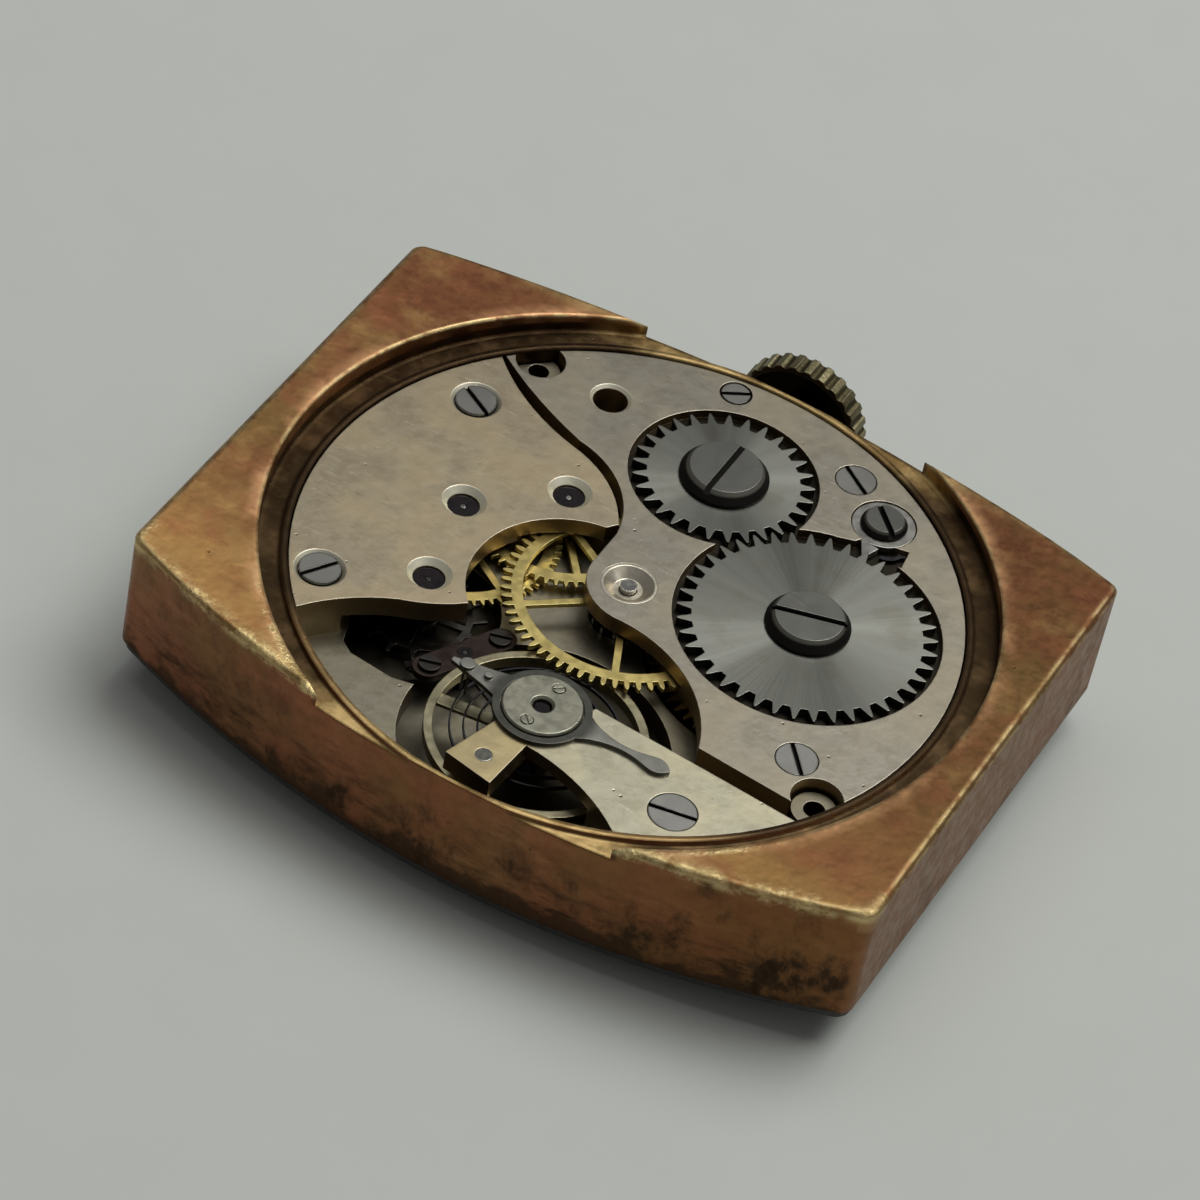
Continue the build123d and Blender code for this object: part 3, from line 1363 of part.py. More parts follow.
with BuildPart() as pallet_arbor:
    pallet_pivot_top = plate_height + pallet_cock_thickness
    with BuildSketch(level(pocket_jewel_low, pallet_place)):
        Circle(pivot_radius)
    extrude(amount=pallet_pivot_top - pocket_jewel_low)
    with BuildSketch(level(pocket_floor_height + touch_clearance, pallet_place)):
        Circle(arbor_shaft_radius)
    extrude(amount=plate_height - pocket_floor_height - 2 * touch_clearance)
pallet_arbor.part.label = "pallet_arbor"
export_step(pallet_arbor.part, "parts/pallet_arbor.step")

# Balance: flat rim and two arms
with BuildPart() as balance_wheel:
    with BuildSketch(level(balance_rim_height, balance_place)):
        Circle(balance_radius)
        Circle(balance_radius - balance_rim_width, mode=Mode.SUBTRACT)
    extrude(amount=balance_rim_depth)
    with BuildSketch(level(balance_rim_height + balance_arm_thickness, balance_place, balance_arm_turn)):
        Rectangle(2 * balance_radius - balance_rim_width, balance_arm_width)
        Circle(1.2 * balance_arm_width)
        Circle(staff_radius, mode=Mode.SUBTRACT)
    extrude(amount=balance_arm_thickness)
balance_wheel.part.label = "balance_wheel"
export_step(balance_wheel.part, "parts/balance_wheel.step")

roller_height = balance_rim_height - 2 * roller_thickness
cock_jewel_low = cock_arm_floor + 0.1 * cock_arm_thickness
with BuildPart() as balance_staff:
    staff_top = cock_jewel_low - touch_clearance
    staff_low = pocket_floor_height + touch_clearance
    with BuildSketch(level(staff_low, balance_place)):
        Circle(staff_radius)
    extrude(amount=staff_top - staff_low)
    with BuildSketch(level(pocket_jewel_low, balance_place)):
        Circle(pivot_radius)
    extrude(amount=cock_jewel_low + jewel_thickness - pocket_jewel_low)
    collet_low = balance_rim_height + 2 * balance_arm_thickness
    with BuildSketch(level(collet_low, balance_place)):
        Circle(collet_radius)
    extrude(amount=hairspring_height + hairspring_depth - collet_low)
balance_staff.part.label = "balance_staff"
export_step(balance_staff.part, "parts/balance_staff.step")

with BuildPart() as roller:
    with BuildSketch(level(roller_height, balance_place)):
        Circle(roller_radius)
        Circle(staff_radius, mode=Mode.SUBTRACT)
    extrude(amount=roller_thickness)
    with BuildSketch(level(roller_height, balance_place, escape_line)):
        with Locations((-impulse_radius, 0)):
            Circle(impulse_pin_radius)
    extrude(amount=escape_wheel_height - roller_height)
roller.part.label = "roller"
export_step(roller.part, "parts/roller.step")

# Hairspring: its last half turn is round the balance axis, where the curb pins stand
hairspring_first = hairspring_radius - (hairspring_half_turns - 1) * hairspring_pitch / 2
hairspring_turn = 90
stud_bearing = bearing(balance_place, stud_place) % 360
with BuildPart() as hairspring:
    with BuildSketch(level(hairspring_height, balance_place, hairspring_turn)):
        last_sweep = stud_bearing - hairspring_turn
        add(
            spiral_strip(
                hairspring_first, hairspring_pitch, hairspring_half_turns, hairspring_strip, last_sweep
            )
        )
    extrude(amount=hairspring_depth)
hairspring.part.label = "hairspring"
export_step(hairspring.part, "parts/hairspring.step")
print("hairspring least gap", round(spiral_gap(hairspring_pitch, hairspring_strip), 3))

with BuildPart() as hairspring_stud:
    stud_low = hairspring_height + hairspring_depth + touch_clearance
    with BuildSketch(level(stud_low, stud_place)):
        Circle(stud_radius)
    extrude(amount=bridge_top - stud_low)
hairspring_stud.part.label = "hairspring_stud"
export_step(hairspring_stud.part, "parts/hairspring_stud.step")

# Cap plate over the balance jewels, with its two small screws
cap_screw_place_share = 0.68
with BuildPart() as cap_plate:
    with BuildSketch(level(bridge_top, balance_place)):
        Circle(cap_plate_radius)
        Circle(cap_hole_radius, mode=Mode.SUBTRACT)
    extrude(amount=cap_plate_thickness)
    rim_edges = cap_plate.edges().filter_by(GeomType.CIRCLE).group_by(Axis.Z)[-1].sort_by(Edge.length)
    chamfer(rim_edges[-1], length=0.2 * cap_plate_thickness)
    chamfer(rim_edges[0], length=0.3 * cap_plate_thickness)
    with BuildSketch(level(bridge_top + 0.6 * cap_plate_thickness, balance_place, cap_screw_turn)):
        with PolarLocations(cap_screw_place_share * cap_plate_radius, 2):
            Circle(cap_screw_radius + shaft_clearance)
    extrude(amount=cap_plate_thickness, mode=Mode.SUBTRACT)
cap_plate.part.label = "cap_plate"
export_step(cap_plate.part, "parts/cap_plate.step")

with BuildPart() as cap_screws:
    cap_screw_floor = bridge_top + 0.6 * cap_plate_thickness
    for screw_turn in (cap_screw_turn, cap_screw_turn + 180):
        place = polar(cap_screw_place_share * cap_plate_radius, screw_turn, balance_place)
        with BuildSketch(level(cap_screw_floor, place)):
            Circle(cap_screw_radius)
        extrude(amount=0.5 * cap_plate_thickness)
        with BuildSketch(level(cap_screw_floor + 0.3 * cap_plate_thickness, place)):
            Rectangle(3 * cap_screw_radius, 0.3 * cap_screw_radius, rotation=screw_turn / 2)
        extrude(amount=cap_plate_thickness, mode=Mode.SUBTRACT)
cap_screws.part.label = "cap_screws"
export_step(cap_screws.part, "parts/cap_screws.step")

# Regulator: ring round the cap plate, long tapering tail to the scale, short arm to the curb pins
index_inner = cap_plate_radius + shaft_clearance
index_arm_turn = bearing(balance_place, index_pin_place)
tail_shares = ((0.3, 0.42), (0.46, 0.15), (0.78, 0.115), (0.9, 0.19), (1.0, 0.0))
arm_root_share, arm_waist_share, arm_tip_share = 0.62, 0.72, 1.2
with BuildPart() as regulator:
    with BuildSketch(level(bridge_top, balance_place)):
        Circle(index_ring_radius)
        tail_side = [(reach * index_reach, rise * index_ring_radius) for reach, rise in tail_shares]
        with BuildLine():
            Spline(tail_side[0], tail_side[1], tail_side[2], tail_side[3], tail_side[4])
            Spline(
                (tail_side[0][0], -tail_side[0][1]),
                (tail_side[1][0], -tail_side[1][1]),
                (tail_side[2][0], -tail_side[2][1]),
                (tail_side[3][0], -tail_side[3][1]),
                tail_side[4],
            )
            Line(tail_side[0], (tail_side[0][0], -tail_side[0][1]))
        make_face()
        arm_reach = gap_between(balance_place, index_pin_place)
        arm_root = arm_root_share * index_ring_radius
        arm_waist = (arm_waist_share * arm_reach, index_arm_width)
        arm_tip = (arm_tip_share * arm_reach, 0.2 * index_arm_width)
        with Locations(Location((0, 0), index_arm_turn)):
            Polygon(
                (arm_root, -1.8 * index_arm_width),
                (arm_waist[0], -arm_waist[1]),
                (arm_tip[0], -arm_tip[1]),
                (arm_tip[0], arm_tip[1]),
                (arm_waist[0], arm_waist[1]),
                (arm_root, 1.8 * index_arm_width),
                align=None,
            )
        Circle(index_inner, mode=Mode.SUBTRACT)
    extrude(amount=index_thickness)
    pins_low = hairspring_height + 0.3 * hairspring_depth
    with BuildSketch(level(pins_low, balance_place, index_arm_turn)):
        for pin_side in (-1, 1):
            pin_offset = hairspring_strip / 2 + curb_pin_radius + touch_clearance
            with Locations((hairspring_radius + pin_side * pin_offset, 0)):
                Circle(curb_pin_radius)
    extrude(amount=bridge_top - pins_low)
    with BuildSketch(level(bridge_top + index_thickness, balance_place, index_arm_turn)):
        with Locations((arm_reach, 0)):
            Circle(0.62 * index_arm_width)
        with Locations((arm_waist[0], 0)):
            Circle(0.36 * index_arm_width)
    extrude(amount=0.8 * index_thickness)
regulator.part.label = "regulator"
export_step(regulator.part, "parts/regulator.step")


# Jewels
def jewel_rings(places, radius=jewel_radius):
    """Ring jewels with a pivot hole, seen from above."""
    with BuildSketch() as rings:
        with Locations(places):
            Circle(radius)
            Circle(pivot_radius + shaft_clearance, mode=Mode.SUBTRACT)
    return rings.sketch


with BuildPart() as upper_jewels:
    with BuildSketch(level(jewel_top - jewel_thickness)):
        add(jewel_rings(train_jewel_places))
    extrude(amount=jewel_thickness)
    with BuildSketch(level(plate_height)):
        add(jewel_rings([pallet_place], 0.5 * jewel_radius))
    extrude(amount=pallet_cock_thickness)
upper_jewels.part.label = "upper_jewels"
export_step(upper_jewels.part, "parts/upper_jewels.step")

with BuildPart() as plate_jewels:
    with BuildSketch(level(plate_jewel_low)):
        add(jewel_rings([third_place, fourth_place]))
    extrude(amount=jewel_thickness)
    with BuildSketch(level(pocket_jewel_low)):
        add(jewel_rings([escape_place, pallet_place, balance_place]))
    extrude(amount=jewel_thickness)
plate_jewels.part.label = "plate_jewels"
export_step(plate_jewels.part, "parts/plate_jewels.step")

with BuildPart() as balance_jewels:
    with BuildSketch(level(cock_jewel_low)):
        add(jewel_rings([balance_place]))
    extrude(amount=jewel_thickness)
    with BuildSketch(level(cock_jewel_low + jewel_thickness, balance_place)):
        Circle(0.5 * jewel_radius - touch_clearance)
    extrude(amount=bridge_top + 0.35 * cap_plate_thickness - cock_jewel_low - jewel_thickness)
balance_jewels.part.label = "balance_jewels"
export_step(balance_jewels.part, "parts/balance_jewels.step")

# Centre bushing: a ring with a dished top round the centre arbor
dish_depth_share, dish_inner_share = 0.35, 0.52
with BuildPart() as centre_bushing:
    with BuildSketch(level(centre_wheel_room)):
        Circle(centre_bushing_radius)
    extrude(amount=bridge_top - centre_wheel_room)
    with BuildSketch(level(bridge_top)):
        Circle(0.9 * centre_bushing_radius)
    with BuildSketch(level(bridge_top - dish_depth_share * bridge_thickness)):
        Circle(dish_inner_share * centre_bushing_radius)
    loft(mode=Mode.SUBTRACT)
    with BuildSketch(level(centre_wheel_room - overrun)):
        Circle(centre_hole_radius + shaft_clearance)
    extrude(amount=bridge_top, mode=Mode.SUBTRACT)
centre_bushing.part.label = "centre_bushing"
export_step(centre_bushing.part, "parts/centre_bushing.step")

# Winding stem with its crown, and the two pinions on it
stem_outer_end = crown_mouth_place + 0.75 * crown_length
square_start = keyless_inner_end + crown_travel
square_half = 0.7 * stem_radius
with BuildPart() as winding_stem:
    with BuildSketch(across_stem(setting_place[1] + 0.5 * setting_pitch)):
        Circle(stem_pilot_radius)
    extrude(amount=square_start - setting_place[1] - 0.5 * setting_pitch)
    with BuildSketch(across_stem(square_start)):
        Rectangle(2 * square_half, 2 * square_half)
    extrude(amount=winding_pinion_place - square_start)
    with BuildSketch(across_stem(winding_pinion_place)):
        Circle(stem_radius)
    extrude(amount=stem_outer_end - winding_pinion_place)
    with BuildSketch(across_stem(setting_pin_place[1] - stem_groove_half_width)):
        Circle(2 * stem_radius)
        Circle(0.6 * stem_radius, mode=Mode.SUBTRACT)
    extrude(amount=2 * stem_groove_half_width, mode=Mode.SUBTRACT)
winding_stem.part.label = "winding_stem"
export_step(winding_stem.part, "parts/winding_stem.step")

crown_outer_end = crown_mouth_place + crown_length
with BuildPart() as crown:
    with BuildSketch(across_stem(crown_mouth_place)):
        Circle(crown_radius)
        with PolarLocations(crown_radius + 0.45 * crown_flute_radius, crown_flutes):
            Circle(crown_flute_radius, mode=Mode.SUBTRACT)
    extrude(amount=0.84 * crown_length)
    with BuildSketch(across_stem(crown_mouth_place + 0.84 * crown_length)):
        Circle(0.95 * crown_radius)
    with BuildSketch(across_stem(crown_outer_end)):
        Circle(0.72 * crown_radius)
    loft()
    with BuildSketch(across_stem(crown_mouth_place - overrun)):
        Circle(crown_radius - crown_rim)
        Circle(1.9 * stem_radius, mode=Mode.SUBTRACT)
    extrude(amount=overrun + 0.62 * crown_length, mode=Mode.SUBTRACT)
    with BuildSketch(across_stem(crown_mouth_place - overrun)):
        Circle(stem_radius)
    extrude(amount=overrun + stem_outer_end - crown_mouth_place, mode=Mode.SUBTRACT)
crown.part.label = "crown"
export_step(crown.part, "parts/crown.step")

winding_tooth_depth = 0.2 * winding_pinion_radius
winding_root_share, winding_crest_share = 0.24, 0.14
claw_count = 8
claw_share = 0.4
claw_radius = 0.75 * sliding_pinion_radius
with BuildPart() as winding_pinion:
    with BuildSketch(across_stem(winding_pinion_place)):
        winding_flank_points = [
            (winding_pinion_radius - winding_tooth_depth, winding_root_share),
            (winding_pinion_radius, winding_crest_share),
        ]
        Polygon(*toothed(winding_teeth, winding_flank_points, winding_pinion_phase))
        Circle(stem_radius + shaft_clearance, mode=Mode.SUBTRACT)
    extrude(amount=winding_pinion_width)
    with BuildSketch(across_stem(winding_pinion_place + winding_pinion_width)):
        Circle(claw_radius)
        Circle(stem_radius + shaft_clearance, mode=Mode.SUBTRACT)
    extrude(amount=wheel_clearance)
    with BuildSketch(across_stem(winding_pinion_place - pinion_claw_depth + touch_clearance)):
        claw_width = claw_share * math.tau * claw_radius / claw_count
        with PolarLocations(claw_radius, claw_count, start_angle=180 / claw_count):
            Rectangle(0.3 * sliding_pinion_radius, claw_width)
    extrude(amount=pinion_claw_depth - touch_clearance)
winding_pinion.part.label = "winding_pinion"
export_step(winding_pinion.part, "parts/winding_pinion.step")

yoke_groove_place = sliding_pinion_place + 0.55 * sliding_pinion_length
yoke_groove_half_width = yoke_finger_radius + lever_clearance
with BuildPart() as sliding_pinion:
    with BuildSketch(across_stem(sliding_pinion_place + pinion_claw_depth)):
        Circle(sliding_pinion_radius)
    extrude(amount=sliding_pinion_length - pinion_claw_depth)
    with BuildSketch(across_stem(sliding_pinion_place)):
        with PolarLocations(0.85 * sliding_pinion_radius, 2 * claw_count):
            Rectangle(0.3 * sliding_pinion_radius, 0.45 * claw_width)
        Circle(0.72 * sliding_pinion_radius)
    extrude(amount=pinion_claw_depth)
    with BuildSketch(across_stem(sliding_pinion_place + sliding_pinion_length)):
        with PolarLocations(claw_radius, claw_count):
            Rectangle(0.3 * sliding_pinion_radius, claw_width)
    extrude(amount=pinion_claw_depth - touch_clearance)
    with BuildSketch(across_stem(yoke_groove_place - yoke_groove_half_width)):
        Circle(2 * sliding_pinion_radius)
        Circle(0.68 * sliding_pinion_radius, mode=Mode.SUBTRACT)
    extrude(amount=2 * yoke_groove_half_width, mode=Mode.SUBTRACT)
    with BuildSketch(across_stem(sliding_pinion_place - overrun)):
        Rectangle(2 * (square_half + shaft_clearance), 2 * (square_half + shaft_clearance))
    extrude(amount=sliding_pinion_length + 2 * overrun, mode=Mode.SUBTRACT)
sliding_pinion.part.label = "sliding_pinion"
export_step(sliding_pinion.part, "parts/sliding_pinion.step")


# Keyless levers on the dial side
setting_nose_share = (-0.2111, 0.8653)
yoke_tail_share = (-0.179, 0.8611)
with BuildPart() as setting_lever:
    with BuildSketch(level(lever_height)):
        with Locations(setting_lever_place):
            Circle(lever_boss_radius)
        add(lever_arm(setting_lever_place, setting_pin_place, lever_arm_width))
        add(lever_arm(setting_lever_place, spot(setting_nose_share), 0.62 * lever_boss_radius))
        with Locations(setting_lever_place):
            Circle(0.6 * screw_shank_radius + shaft_clearance, mode=Mode.SUBTRACT)
    extrude(amount=lever_thickness)
    with BuildSketch(level(lever_height + lever_thickness)):
        with Locations(setting_pin_place):
            Circle(setting_pin_radius)
    pin_top = stem_height - 0.6 * stem_radius - lever_clearance
    extrude(amount=pin_top - lever_height - lever_thickness)
setting_lever.part.label = "setting_lever"
export_step(setting_lever.part, "parts/setting_lever.step")

yoke_finger_place = (0, yoke_groove_place)
with BuildPart() as yoke:
    with BuildSketch(level(lever_height)):
        with Locations(yoke_place):
            Circle(0.9 * lever_boss_radius)
        add(lever_arm(yoke_place, yoke_finger_place, 0.7 * lever_boss_radius))
        add(lever_arm(yoke_place, spot(yoke_tail_share), 0.55 * lever_boss_radius))
        with Locations(yoke_place):
            Circle(0.6 * screw_shank_radius + shaft_clearance, mode=Mode.SUBTRACT)
    extrude(amount=lever_thickness)
    with BuildSketch(level(lever_height + lever_thickness)):
        with Locations(yoke_finger_place):
            Circle(yoke_finger_radius)
    finger_top = stem_height - 0.68 * sliding_pinion_radius - lever_clearance
    extrude(amount=finger_top - lever_height - lever_thickness)
yoke.part.label = "yoke"
export_step(yoke.part, "parts/yoke.step")

yoke_spring_shares = ((-0.255, 0.575), (-0.21, 0.625), (-0.14, 0.642))
with BuildPart() as yoke_spring:
    with BuildSketch(level(lever_height)):
        with BuildLine():
            spring_points = [spot(share) for share in yoke_spring_shares]
            ThreePointArc(spring_points[0], spring_points[1], spring_points[2])
        trace(line_width=click_spring_width)
    extrude(amount=lever_thickness)
    with BuildSketch(level(lever_height)):
        with Locations(spring_points[0]):
            Circle(0.6 * lever_boss_radius)
    extrude(amount=motion_pocket_depth - lever_height)
yoke_spring.part.label = "yoke_spring"
export_step(yoke_spring.part, "parts/yoke_spring.step")

# Keyless cover: holds the levers in the plate, with posts for the yoke and the cover screws
cover_shares = (
    (-0.31, 0.53),
    (-0.08, 0.55),
    (0.31, 0.70),
    (0.31, 0.89),
    (0.06, 0.94),
    (-0.06, 0.985),
    (-0.20, 0.965),
    (-0.31, 0.90),
)
cover_low = lever_height - touch_clearance - cover_thickness
with BuildPart() as keyless_cover:
    with BuildSketch(level(cover_low)):
        Polygon(*[spot(share) for share in cover_shares])
        add(lever_pocket(shaft_clearance), mode=Mode.INTERSECT)
        with Locations((0, winding_pinion_place + winding_pinion_width / 2)):
            Rectangle(sliding_slot_half_width, winding_pinion_width + 2 * wheel_clearance, mode=Mode.SUBTRACT)
        with Locations([spot(share) for share in cover_screw_shares]):
            Circle(0.5 * small_screw_radius + shaft_clearance, mode=Mode.SUBTRACT)
    extrude(amount=cover_thickness)
    with BuildSketch(level(cover_low + cover_thickness)):
        with Locations(yoke_place):
            Circle(0.6 * screw_shank_radius)
    extrude(amount=lever_thickness)
keyless_cover.part.label = "keyless_cover"
export_step(keyless_cover.part, "parts/keyless_cover.step")

with BuildPart() as small_screws:
    pallet_screw_places = [
        polar(side * pallet_screw_reach, escape_line + 90, pallet_place) for side in (-1, 1)
    ]
    for place in pallet_screw_places:
        with BuildSketch(level(plate_height, place)):
            Circle(0.5 * small_screw_radius)
        extrude(amount=pallet_cock_thickness)
        with BuildSketch(level(plate_height + pallet_cock_thickness, place)):
            Circle(small_screw_radius)
            add(slot_in(small_screw_radius, pallet_screw_turn), mode=Mode.SUBTRACT)
        extrude(amount=small_screw_head_depth)
        with BuildSketch(level(plate_height + pallet_cock_thickness, place)):
            Circle(small_screw_radius)
        extrude(amount=0.5 * small_screw_head_depth)
    for place in [spot(share) for share in cover_screw_shares]:
        with BuildSketch(level(cover_low, place)):
            Circle(0.5 * small_screw_radius)
        extrude(amount=motion_pocket_depth - cover_low)
        with BuildSketch(level(cover_low - small_screw_head_depth, place)):
            Circle(small_screw_radius)
            add(slot_in(small_screw_radius, cover_screw_turn), mode=Mode.SUBTRACT)
        extrude(amount=small_screw_head_depth)
        with BuildSketch(level(cover_low - 0.5 * small_screw_head_depth, place)):
            Circle(small_screw_radius)
        extrude(amount=0.5 * small_screw_head_depth)
small_screws.part.label = "small_screws"
export_step(small_screws.part, "parts/small_screws.step")

# Motion works
minute_phase = 0.0
cannon_phase = in_mesh(cannon_teeth, centre_place, minute_wheel_teeth, minute_place, minute_phase)
setting_phase = in_mesh(setting_teeth, setting_place, minute_wheel_teeth, minute_place, minute_phase)
minute_pinion_phase = 0.0
hour_phase = in_mesh(hour_teeth, centre_place, minute_pinion_teeth, minute_place, minute_pinion_phase)
dial_top_middle = frame_bottom_middle - touch_clearance
dial_low_middle = dial_top_middle - dial_thickness
hour_hand_top = dial_low_middle - hand_gap
minute_hand_top = hour_hand_top - hand_thickness - hand_gap

with BuildPart() as cannon_pinion:
    with BuildSketch(level(motion_height)):
        Polygon(*toothed(cannon_teeth, leaf_flank(cannon_pitch, cannon_teeth), cannon_phase))
    extrude(amount=motion_wheel_thickness)
    with BuildSketch(level(motion_height)):
        Circle(cannon_radius)
    extrude(amount=minute_hand_top - hand_thickness - motion_height)
    with BuildSketch(level(motion_height + motion_wheel_thickness)):
        Circle(0.6 * centre_hole_radius)
    extrude(amount=-2 * (frame_bottom_drop + dial_thickness + overrun), mode=Mode.SUBTRACT)
cannon_pinion.part.label = "cannon_pinion"
export_step(cannon_pinion.part, "parts/cannon_pinion.step")

hour_low = hour_wheel_height
with BuildPart() as hour_wheel:
    with BuildSketch(level(hour_low)):
        Polygon(*toothed(hour_teeth, plain_flank(hour_pitch, hour_teeth), hour_phase))
    extrude(amount=hour_wheel_thickness)
    with BuildSketch(level(hour_low)):
        Circle(hour_pipe_radius)
    extrude(amount=hour_hand_top - hand_thickness - hour_low)
    with BuildSketch(level(motion_height)):
        Circle(cannon_radius + shaft_clearance)
    extrude(amount=-2 * (frame_bottom_drop + dial_thickness + overrun), mode=Mode.SUBTRACT)
hour_wheel.part.label = "hour_wheel"
export_step(hour_wheel.part, "parts/hour_wheel.step")

with BuildPart() as minute_wheel:
    with BuildSketch(level(motion_height, minute_place)):
        Polygon(
            *toothed(minute_wheel_teeth, plain_flank(minute_wheel_pitch, minute_wheel_teeth), minute_phase)
        )
    extrude(amount=motion_wheel_thickness)
    with BuildSketch(level(hour_low, minute_place)):
        Polygon(
            *toothed(
                minute_pinion_teeth,
                leaf_flank(minute_pinion_pitch, minute_pinion_teeth),
                minute_pinion_phase,
            )
        )
    extrude(amount=motion_height - hour_low)
    with BuildSketch(level(motion_height, minute_place)):
        Circle(0.5 * centre_hole_radius)
    extrude(amount=motion_pocket_depth - motion_height - touch_clearance)
minute_wheel.part.label = "minute_wheel"
export_step(minute_wheel.part, "parts/minute_wheel.step")

with BuildPart() as setting_wheel:
    with BuildSketch(level(motion_height, setting_place)):
        Polygon(*toothed(setting_teeth, plain_flank(setting_pitch, setting_teeth), setting_phase))
    extrude(amount=motion_wheel_thickness)
    with BuildSketch(level(motion_height, setting_place)):
        Circle(0.5 * centre_hole_radius)
    extrude(amount=motion_pocket_depth - motion_height - touch_clearance)
setting_wheel.part.label = "setting_wheel"
export_step(setting_wheel.part, "parts/setting_wheel.step")

# Dial: a curved sheet under the frame, with two feet in the main plate
with BuildPart() as dial:
    with BuildSketch(Plane.XZ):
        dial_half_length = frame_half_length - dial_inset
        rise = frame_bottom_rise * (dial_half_length / frame_half_length) ** 2
        with BuildLine():
            ThreePointArc(
                (-dial_half_length, dial_top_middle + rise),
                (0, dial_top_middle),
                (dial_half_length, dial_top_middle + rise),
            )
            Line((dial_half_length, dial_top_middle + rise), (dial_half_length, dial_low_middle + rise))
            ThreePointArc(
                (dial_half_length, dial_low_middle + rise),
                (0, dial_low_middle),
                (-dial_half_length, dial_low_middle + rise),
            )
            Line((-dial_half_length, dial_low_middle + rise), (-dial_half_length, dial_top_middle + rise))
        make_face()
    extrude(amount=frame_middle_half_width, both=True)
    with BuildSketch(level(dial_low_middle - overrun)):
        add(frame_plan(dial_inset))
    extrude(amount=dial_thickness + frame_bottom_rise + 2 * overrun, mode=Mode.INTERSECT)
    with BuildSketch(level(dial_top_middle - dial_thickness / 2)):
        with Locations([spot(share) for share in dial_foot_shares]):
            Circle(dial_foot_radius)
    extrude(amount=dial_foot_length)
    with BuildSketch(level(dial_low_middle - overrun)):
        Circle(hour_pipe_radius + 2 * shaft_clearance)
        with Locations(fourth_place):
            Circle(2 * pivot_radius + shaft_clearance)
    extrude(amount=dial_thickness + frame_bottom_rise + 2 * overrun, mode=Mode.SUBTRACT)
dial.part.label = "dial"
export_step(dial.part, "parts/dial.step")


def hand_points(length, width):
    """A tapering hand's outline along its own X axis."""
    tail_share, waist_share = -0.18, 0.62
    return [
        (tail_share * length, -width / 4),
        (0, -width / 2),
        (waist_share * length, -width / 2.4),
        (length, 0),
        (waist_share * length, width / 2.4),
        (0, width / 2),
        (tail_share * length, width / 4),
    ]


with BuildPart() as hour_hand:
    with BuildSketch(level(hour_hand_top - hand_thickness, centre_place, hour_hand_angle)):
        Polygon(*hand_points(hour_hand_length, 1.3 * hand_width))
        Circle(1.7 * hour_pipe_radius)
        Circle(hour_pipe_radius, mode=Mode.SUBTRACT)
    extrude(amount=hand_thickness)
hour_hand.part.label = "hour_hand"
export_step(hour_hand.part, "parts/hour_hand.step")

with BuildPart() as minute_hand:
    with BuildSketch(level(minute_hand_top - hand_thickness, centre_place, minute_hand_angle)):
        Polygon(*hand_points(minute_hand_length, hand_width))
        Circle(1.8 * cannon_radius)
        Circle(cannon_radius, mode=Mode.SUBTRACT)
    extrude(amount=hand_thickness)
minute_hand.part.label = "minute_hand"
export_step(minute_hand.part, "parts/minute_hand.step")

with BuildPart() as seconds_hand:
    seconds_top = dial_low_middle - touch_clearance
    with BuildSketch(level(seconds_top - 0.6 * hand_thickness, fourth_place, seconds_hand_angle)):
        Polygon(*hand_points(seconds_hand_length, 0.5 * hand_width))
        Circle(0.5 * hand_width)
        Circle(pivot_radius, mode=Mode.SUBTRACT)
    extrude(amount=0.6 * hand_thickness)
seconds_hand.part.label = "seconds_hand"
export_step(seconds_hand.part, "parts/seconds_hand.step")
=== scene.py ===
import math

import bmesh
import bpy
from mathutils import Matrix, Vector
from mathutils.bvhtree import BVHTree


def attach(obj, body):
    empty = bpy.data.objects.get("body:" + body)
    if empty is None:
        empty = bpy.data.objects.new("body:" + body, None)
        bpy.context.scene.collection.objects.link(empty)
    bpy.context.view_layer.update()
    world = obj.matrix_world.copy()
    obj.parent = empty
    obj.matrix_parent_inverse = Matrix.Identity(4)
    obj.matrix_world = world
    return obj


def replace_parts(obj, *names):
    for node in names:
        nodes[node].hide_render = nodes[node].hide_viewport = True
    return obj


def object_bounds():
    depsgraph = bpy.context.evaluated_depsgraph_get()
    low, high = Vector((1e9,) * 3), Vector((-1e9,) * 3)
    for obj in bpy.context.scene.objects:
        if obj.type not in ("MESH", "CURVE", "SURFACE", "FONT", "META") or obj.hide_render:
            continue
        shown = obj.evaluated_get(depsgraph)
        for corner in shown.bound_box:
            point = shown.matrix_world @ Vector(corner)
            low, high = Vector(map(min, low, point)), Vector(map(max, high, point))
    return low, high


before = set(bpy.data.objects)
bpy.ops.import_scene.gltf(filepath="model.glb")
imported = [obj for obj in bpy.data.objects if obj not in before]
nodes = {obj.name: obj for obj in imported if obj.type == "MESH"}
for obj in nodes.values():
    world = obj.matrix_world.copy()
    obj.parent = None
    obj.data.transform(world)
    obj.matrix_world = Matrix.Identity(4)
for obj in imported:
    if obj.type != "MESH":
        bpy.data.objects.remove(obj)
cad_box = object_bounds()
MM = 0.001

# Places, heights and radii that the finishes follow, in millimetres
MIDDLE = (0, 0, 0)
BARREL = (5.99, 2.0706, 0)
CROWN_WHEEL = (0.1196, 6.8298, 0)
BALANCE = (0.5496, -7.2006, 0)
STUD_BLOCK = (-0.15, -10.1, 0)
# the place where the plate has less painted shade
LESS_SHADED_POCKET = (-2.8, -6.7, 0)
STEM = (0, 0, 1.62)
SMALL_SECONDS = (-6.65, 0, 0)
DIAL_FEET = ((10.4, -2.5), (-10.2, 2.6))
DIAL_FOOT_RADIUS = 0.42
DIAL_FOOT_SHOULDER = -0.3
BRIDGE_TOP = 4.0
PLATE_TOP = 2.3
FRAME_END = 14.39
RECESS_RADIUS = 13.04
LIP_RADIUS = 12.19
SAME_POINT = 0.0001


